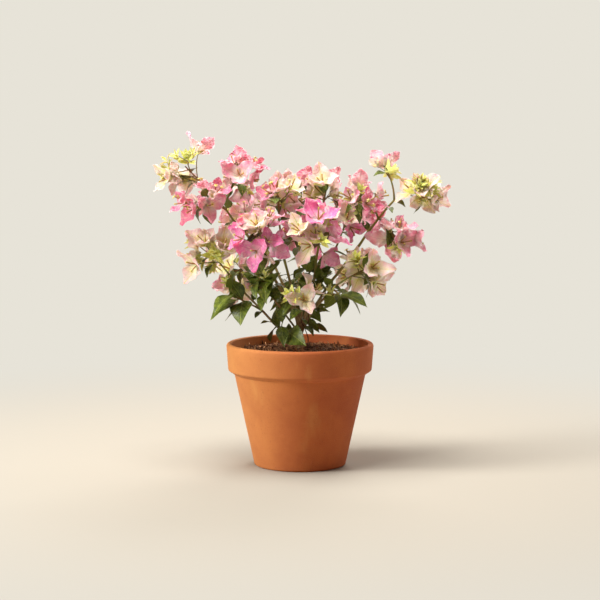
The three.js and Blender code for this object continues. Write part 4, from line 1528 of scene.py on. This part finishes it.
def stalkTree():
    growth = Growth("stalksAlongPaths", {"Paths": "Geometry", "Sides": "Int",
                                         "Finish": "Material"})
    curve = growth.add("GeometryNodeMeshToCurve", {}, {"Mesh": growth.given("Paths")})
    ring = growth.add("GeometryNodeCurvePrimitiveCircle", {},
                      {"Resolution": growth.given("Sides"), "Radius": 1.0})
    growth.finish(growth.add("GeometryNodeCurveToMesh", {}, {
        "Curve": curve, "Profile Curve": ring, "Scale": growth.attribute("girth", "FLOAT"),
        "Fill Caps": True}))
    return growth


def setBlades(name, growth, blades, collection, material, slot, seed):
    mesh = bpy.data.meshes.new(name + "Roots")
    mesh.from_pydata([blade["root"] * mm for blade in blades], [], [])
    turned = []
    for blade in blades:
        across = blade["way"].cross(blade["top"])
        turned.extend(Matrix((across, blade["way"], blade["top"])).transposed().to_euler())
    dice = Dice(seed)
    mark(mesh, "turned", "FLOAT_VECTOR", turned)
    mark(mesh, "size", "FLOAT", [blade["length"] * mm for blade in blades])
    mark(mesh, "kind", "INT", [dice.whole(kindCount) for _ in blades])
    finishPiece(growth.run(name, mesh, Blades=collection, Finish=material), slot)


def setStalks(name, growth, paths, material):
    vertices, edges, girths = [], [], []
    for path, radii in paths:
        for i, point in enumerate(path):
            if i:
                edges.append((len(vertices) - 1, len(vertices)))
            vertices.append(point * mm)
            girths.append((radii[0] + (radii[1] - radii[0]) * i / (len(path) - 1)) * mm)
    mesh = bpy.data.meshes.new(name + "Paths")
    mesh.from_pydata(vertices, edges, [])
    mark(mesh, "girth", "FLOAT", girths)
    piece = growth.run(name, mesh, Sides=stalks["sides"], Finish=material)
    piece.data.polygons.foreach_set("use_smooth", [True] * len(piece.data.polygons))
    return piece


# Body, tip and edge, throat and vein of each tint of bract, and how far its throat reaches.
bractTints = {
    "hot": {"body": paint(242, 132, 184), "tip": paint(218, 84, 146), "throat": paint(246, 208, 200),
            "vein": paint(212, 110, 154), "reach": 0.26, "slot": "rose_spray"},
    "rose": {"body": paint(234, 132, 162), "tip": paint(212, 92, 132), "throat": paint(244, 208, 190),
             "vein": paint(204, 112, 138), "reach": 0.28, "slot": "rose_spray"},
    "pink": {"body": paint(243, 178, 193), "tip": paint(230, 128, 160), "throat": paint(246, 222, 192),
             "vein": paint(220, 146, 162), "reach": 0.36, "slot": "pink_spray"},
    "blush": {"body": paint(247, 217, 206), "tip": paint(244, 180, 192), "throat": paint(238, 224, 166),
              "vein": paint(206, 192, 112), "reach": 0.38, "slot": "blush_spray"},
    "cream": {"body": paint(247, 227, 203), "tip": paint(246, 198, 196), "throat": paint(234, 224, 138),
              "vein": paint(192, 186, 84), "reach": 0.44, "slot": "cream_spray"},
}


# Where a point lies on its blade: which variant, which face, how far across and along.
def bladePlace(finish):
    x, y, _ = finish.mapPlace()
    column = (x * kindCount).math("FLOOR")
    across = ((x * kindCount).math("FRACT") - 0.5) / (1 - 2 * tileEdge)
    under = (y * 2).math("FLOOR")
    run = ((y * 2).math("FRACT") - tileEdge) / (1 - 2 * tileEdge)
    return column, across, under, run


# A midrib and slanting side veins, from 0 between them to 1 on them.
def veinLines(finish, column, off, run, pairs, slant):
    midrib = 1 - finish.ease(off, 0.008, 0.028)
    wave = ((run - off * slant) * pairs + column * 0.37).math("FRACT") - 0.5
    side = 1 - finish.ease(wave.math("ABSOLUTE"), 0.03, 0.10)
    return midrib, side * finish.ease(off, 0.0, 0.03)


thinness = {"Radius": (1.0, 0.8, 0.8), "Scale": 0.0012}  # how far light spreads inside a thin blade
bractPattern = {"thinness": 0.9, "veins": 6, "slant": 1.3, "netScale": 17.0, "blotchScale": 4.5,
                "cloudScale": 7, "clouds": 0.38, "throat": 0.85, "midrib": 0.75, "side": 0.34,
                "net": 0.16, "underShare": 0.18, "under": paint(250, 236, 226)}


# Lets light through, as papery bracts and young leaves do.
def thinSkin(finish, share):
    for name, value in (("Weight", share), *thinness.items()):
        finish.surface.inputs["Subsurface " + name].default_value = value


def bractFinish(tint, look):
    finish = Finish(tint + "Bract", 0.62, 0.3)
    thinSkin(finish, bractPattern["thinness"])
    column, across, under, run = bladePlace(finish)
    off = across.math("ABSOLUTE")
    midrib, side = veinLines(finish, column, off, run, bractPattern["veins"], bractPattern["slant"])
    spot = finish.vector(across, run * 1.5, column * 2.3)
    net = finish.add("ShaderNodeTexVoronoi", {"feature": "DISTANCE_TO_EDGE"},
                     {"Vector": spot, "Scale": bractPattern["netScale"]})
    netLines = 1 - finish.ease(net, 0.0, 0.07)
    blotch = finish.noise(spot, bractPattern["blotchScale"], 3)
    clouds = finish.ease(finish.noise(spot, bractPattern["cloudScale"], 3), 0.46, 0.7)
    throat = 1 - finish.ease(run + (blotch - 0.5) * 0.5 + off * 0.5,
                             look["reach"] - 0.22, look["reach"] + 0.24)
    edge = finish.ease(run + off * 0.9 + (blotch - 0.5) * 0.6, 0.46, 1.06)
    colour = finish.mix(edge, look["body"], look["tip"])
    colour = finish.mix(clouds * bractPattern["clouds"], colour, look["throat"])
    colour = finish.mix(throat * bractPattern["throat"], colour, look["throat"])
    lines = finish.add("ShaderNodeMath", {"operation": "MAXIMUM"},
                       {0: midrib * bractPattern["midrib"],
                        1: side * bractPattern["side"] + netLines * bractPattern["net"]})
    colour = finish.mix(lines, colour, look["vein"])
    finish.colour(finish.mix(under * bractPattern["underShare"], colour, bractPattern["under"]))
    finish.relief(midrib * -0.6 - side * 0.5 - netLines * 0.25 + blotch * 0.5, 0.0004, 0.8)
    return finish.material


leafLooks = {
    "green": {"body": paint(62, 78, 15), "patch": paint(104, 116, 34), "vein": paint(138, 148, 62),
              "under": paint(118, 130, 52), "edge": paint(44, 56, 12), "roughness": 0.38, "thin": 0,
              "slot": "green_spray"},
    "lime": {"body": paint(210, 213, 80), "patch": paint(230, 228, 126), "vein": paint(246, 242, 186),
             "under": paint(228, 226, 124), "edge": paint(182, 194, 66), "roughness": 0.5, "thin": 0.75,
             "slot": "cream_spray"},
}

leafPattern = {"veins": 7, "slant": 1.1, "patchScale": 5, "edge": 0.5, "under": 0.7, "side": 0.28,
               "midrib": 0.7}


def leafFinish(name, look):
    finish = Finish(name + "Leaf", look["roughness"], 0.4)
    if look["thin"]:
        thinSkin(finish, look["thin"])
    column, across, under, run = bladePlace(finish)
    off = across.math("ABSOLUTE")
    midrib, side = veinLines(finish, column, off, run, leafPattern["veins"], leafPattern["slant"])
    spot = finish.vector(across, run * 1.5, column * 3.1)
    patches = finish.noise(spot, leafPattern["patchScale"], 3)
    colour = finish.mix(finish.ease(patches, 0.38, 0.66), look["body"], look["patch"])
    colour = finish.mix(finish.ease(off, 0.2, 0.5) * leafPattern["edge"], colour, look["edge"])
    colour = finish.mix(under * leafPattern["under"], colour, look["under"])
    colour = finish.mix(side * leafPattern["side"], colour, look["vein"])
    finish.colour(finish.mix(midrib * leafPattern["midrib"], colour, look["vein"]))
    finish.relief(side * -0.7 - midrib + patches * 0.4, 0.0004, 0.9)
    return finish.material


stalkLook = {"green": paint(116, 124, 54), "brown": paint(150, 112, 66), "grain": paint(86, 74, 40),
             "patchScale": 60, "grainScale": 1200}
flowerLook = {"root": paint(158, 150, 62), "tube": paint(170, 118, 78), "mouth": paint(182, 164, 78),
              "heart": paint(226, 186, 44), "star": paint(252, 238, 150)}


def stalkFinish():
    finish = Finish("greenTwig", 0.6, 0.4)
    place = finish.objectPlace()
    patches = finish.noise(place, stalkLook["patchScale"], 3)
    grain = finish.noise(place, stalkLook["grainScale"], 2)
    colour = finish.mix(finish.ease(patches, 0.36, 0.64), stalkLook["green"], stalkLook["brown"])
    finish.colour(finish.mix(grain * 0.35, colour, stalkLook["grain"]))
    finish.relief(grain, 0.0002)
    return finish.material


def flowerFinish():
    finish = Finish("flowerTube", 0.55, 0.4)
    run = finish.mapPlace()[1]
    colour = finish.mix(finish.ease(run, 0.05, 0.5), flowerLook["root"], flowerLook["tube"])
    finish.colour(finish.mix(finish.ease(run, 0.6, 0.95), colour, flowerLook["mouth"]))
    return finish.material


def starFinish():
    finish = Finish("flowerStar", 0.5, 0.4)
    x, y, _ = finish.mapPlace()
    across = (x * kindCount).math("FRACT") - 0.5
    radius = (across * across + (y - 0.5) * (y - 0.5)).math("SQRT")
    finish.colour(finish.mix(finish.ease(radius, 0.03, 0.12), flowerLook["heart"], flowerLook["star"]))
    return finish.material


def kindSet(name, make):
    collection = bpy.data.collections.new(name)
    for column in range(kindCount):
        collection.objects.link(make(f"{name}{column}", column))
    return collection


def clearKinds(collection):
    for each in list(collection.objects):
        bpy.data.objects.remove(each)
    bpy.data.collections.remove(collection)


dryTwig = {
    "points": [(9, -9, 157), (11, -11, 174), (7, -9, 188), (12, -13, 199), (10, -10, 214)],
    "side": [(7, -9, 188), (2, -12, 196), (3, -14, 203)],
    "radii": (0.75, 0.4),
    "tint": paint(112, 58, 40),
    "grain": paint(72, 44, 32),
}


def buildDryTwig():
    finish = Finish("dryTwig", 0.8, 0.3)
    grain = finish.noise(finish.objectPlace(), 500, 3)
    finish.colour(finish.mix(grain, dryTwig["tint"], dryTwig["grain"]))
    finish.relief(grain, 0.0002)
    paths = [roundedPath([Vector(p) for p in dryTwig[part]], 2.5)[0] for part in ("points", "side")]
    piece = setStalks("dryTwig", stalkTree(), [(path, dryTwig["radii"]) for path in paths],
                      finish.material)
    finishPiece(piece, "bark")


def buildPlant(sprays, limbs):
    grown = growFiner(sprays, limbs)
    twigs = setStalks("greenTwigs", stalkTree(), grown["stalks"], stalkFinish())
    finishPiece(twigs, "green_spray", [spray["name"] for spray in sprays])

    kinds = {form: kindSet(form + "Kind", lambda name, column: bladeKind(name, bladeForms[form], column))
             for form in bladeForms}
    kinds["tube"] = kindSet("tubeKind", tubeKind)
    kinds["star"] = kindSet("starKind", starKind)
    sets = [(tint + "Bracts", grown["bracts"][tint], "bract", bractFinish(tint, look), look["slot"])
            for tint, look in bractTints.items()]
    sets += [
        ("greenLeaves", grown["greenLeaves"], "leaf", leafFinish("green", leafLooks["green"]),
         leafLooks["green"]["slot"]),
        ("youngLeaves", grown["limeLeaves"], "youngLeaf", leafFinish("lime", leafLooks["lime"]),
         leafLooks["lime"]["slot"]),
        ("flowerTubes", grown["flowers"], "tube", flowerFinish(), "cream_spray"),
        ("flowerStars", grown["stars"], "star", starFinish(), "cream_spray"),
    ]
    blades = bladeTree()
    for name, leaves, kind, material, slot in sets:
        setBlades(name, blades, leaves, kinds[kind], material, slot, bladeSeeds[name])
    for collection in kinds.values():
        clearKinds(collection)


buildStudio()
buildPot()
buildSoil()
limbs = growLimbs()
buildLimbs(limbs)
buildPlant(growPlant(limbs), limbs)
buildDryTwig()
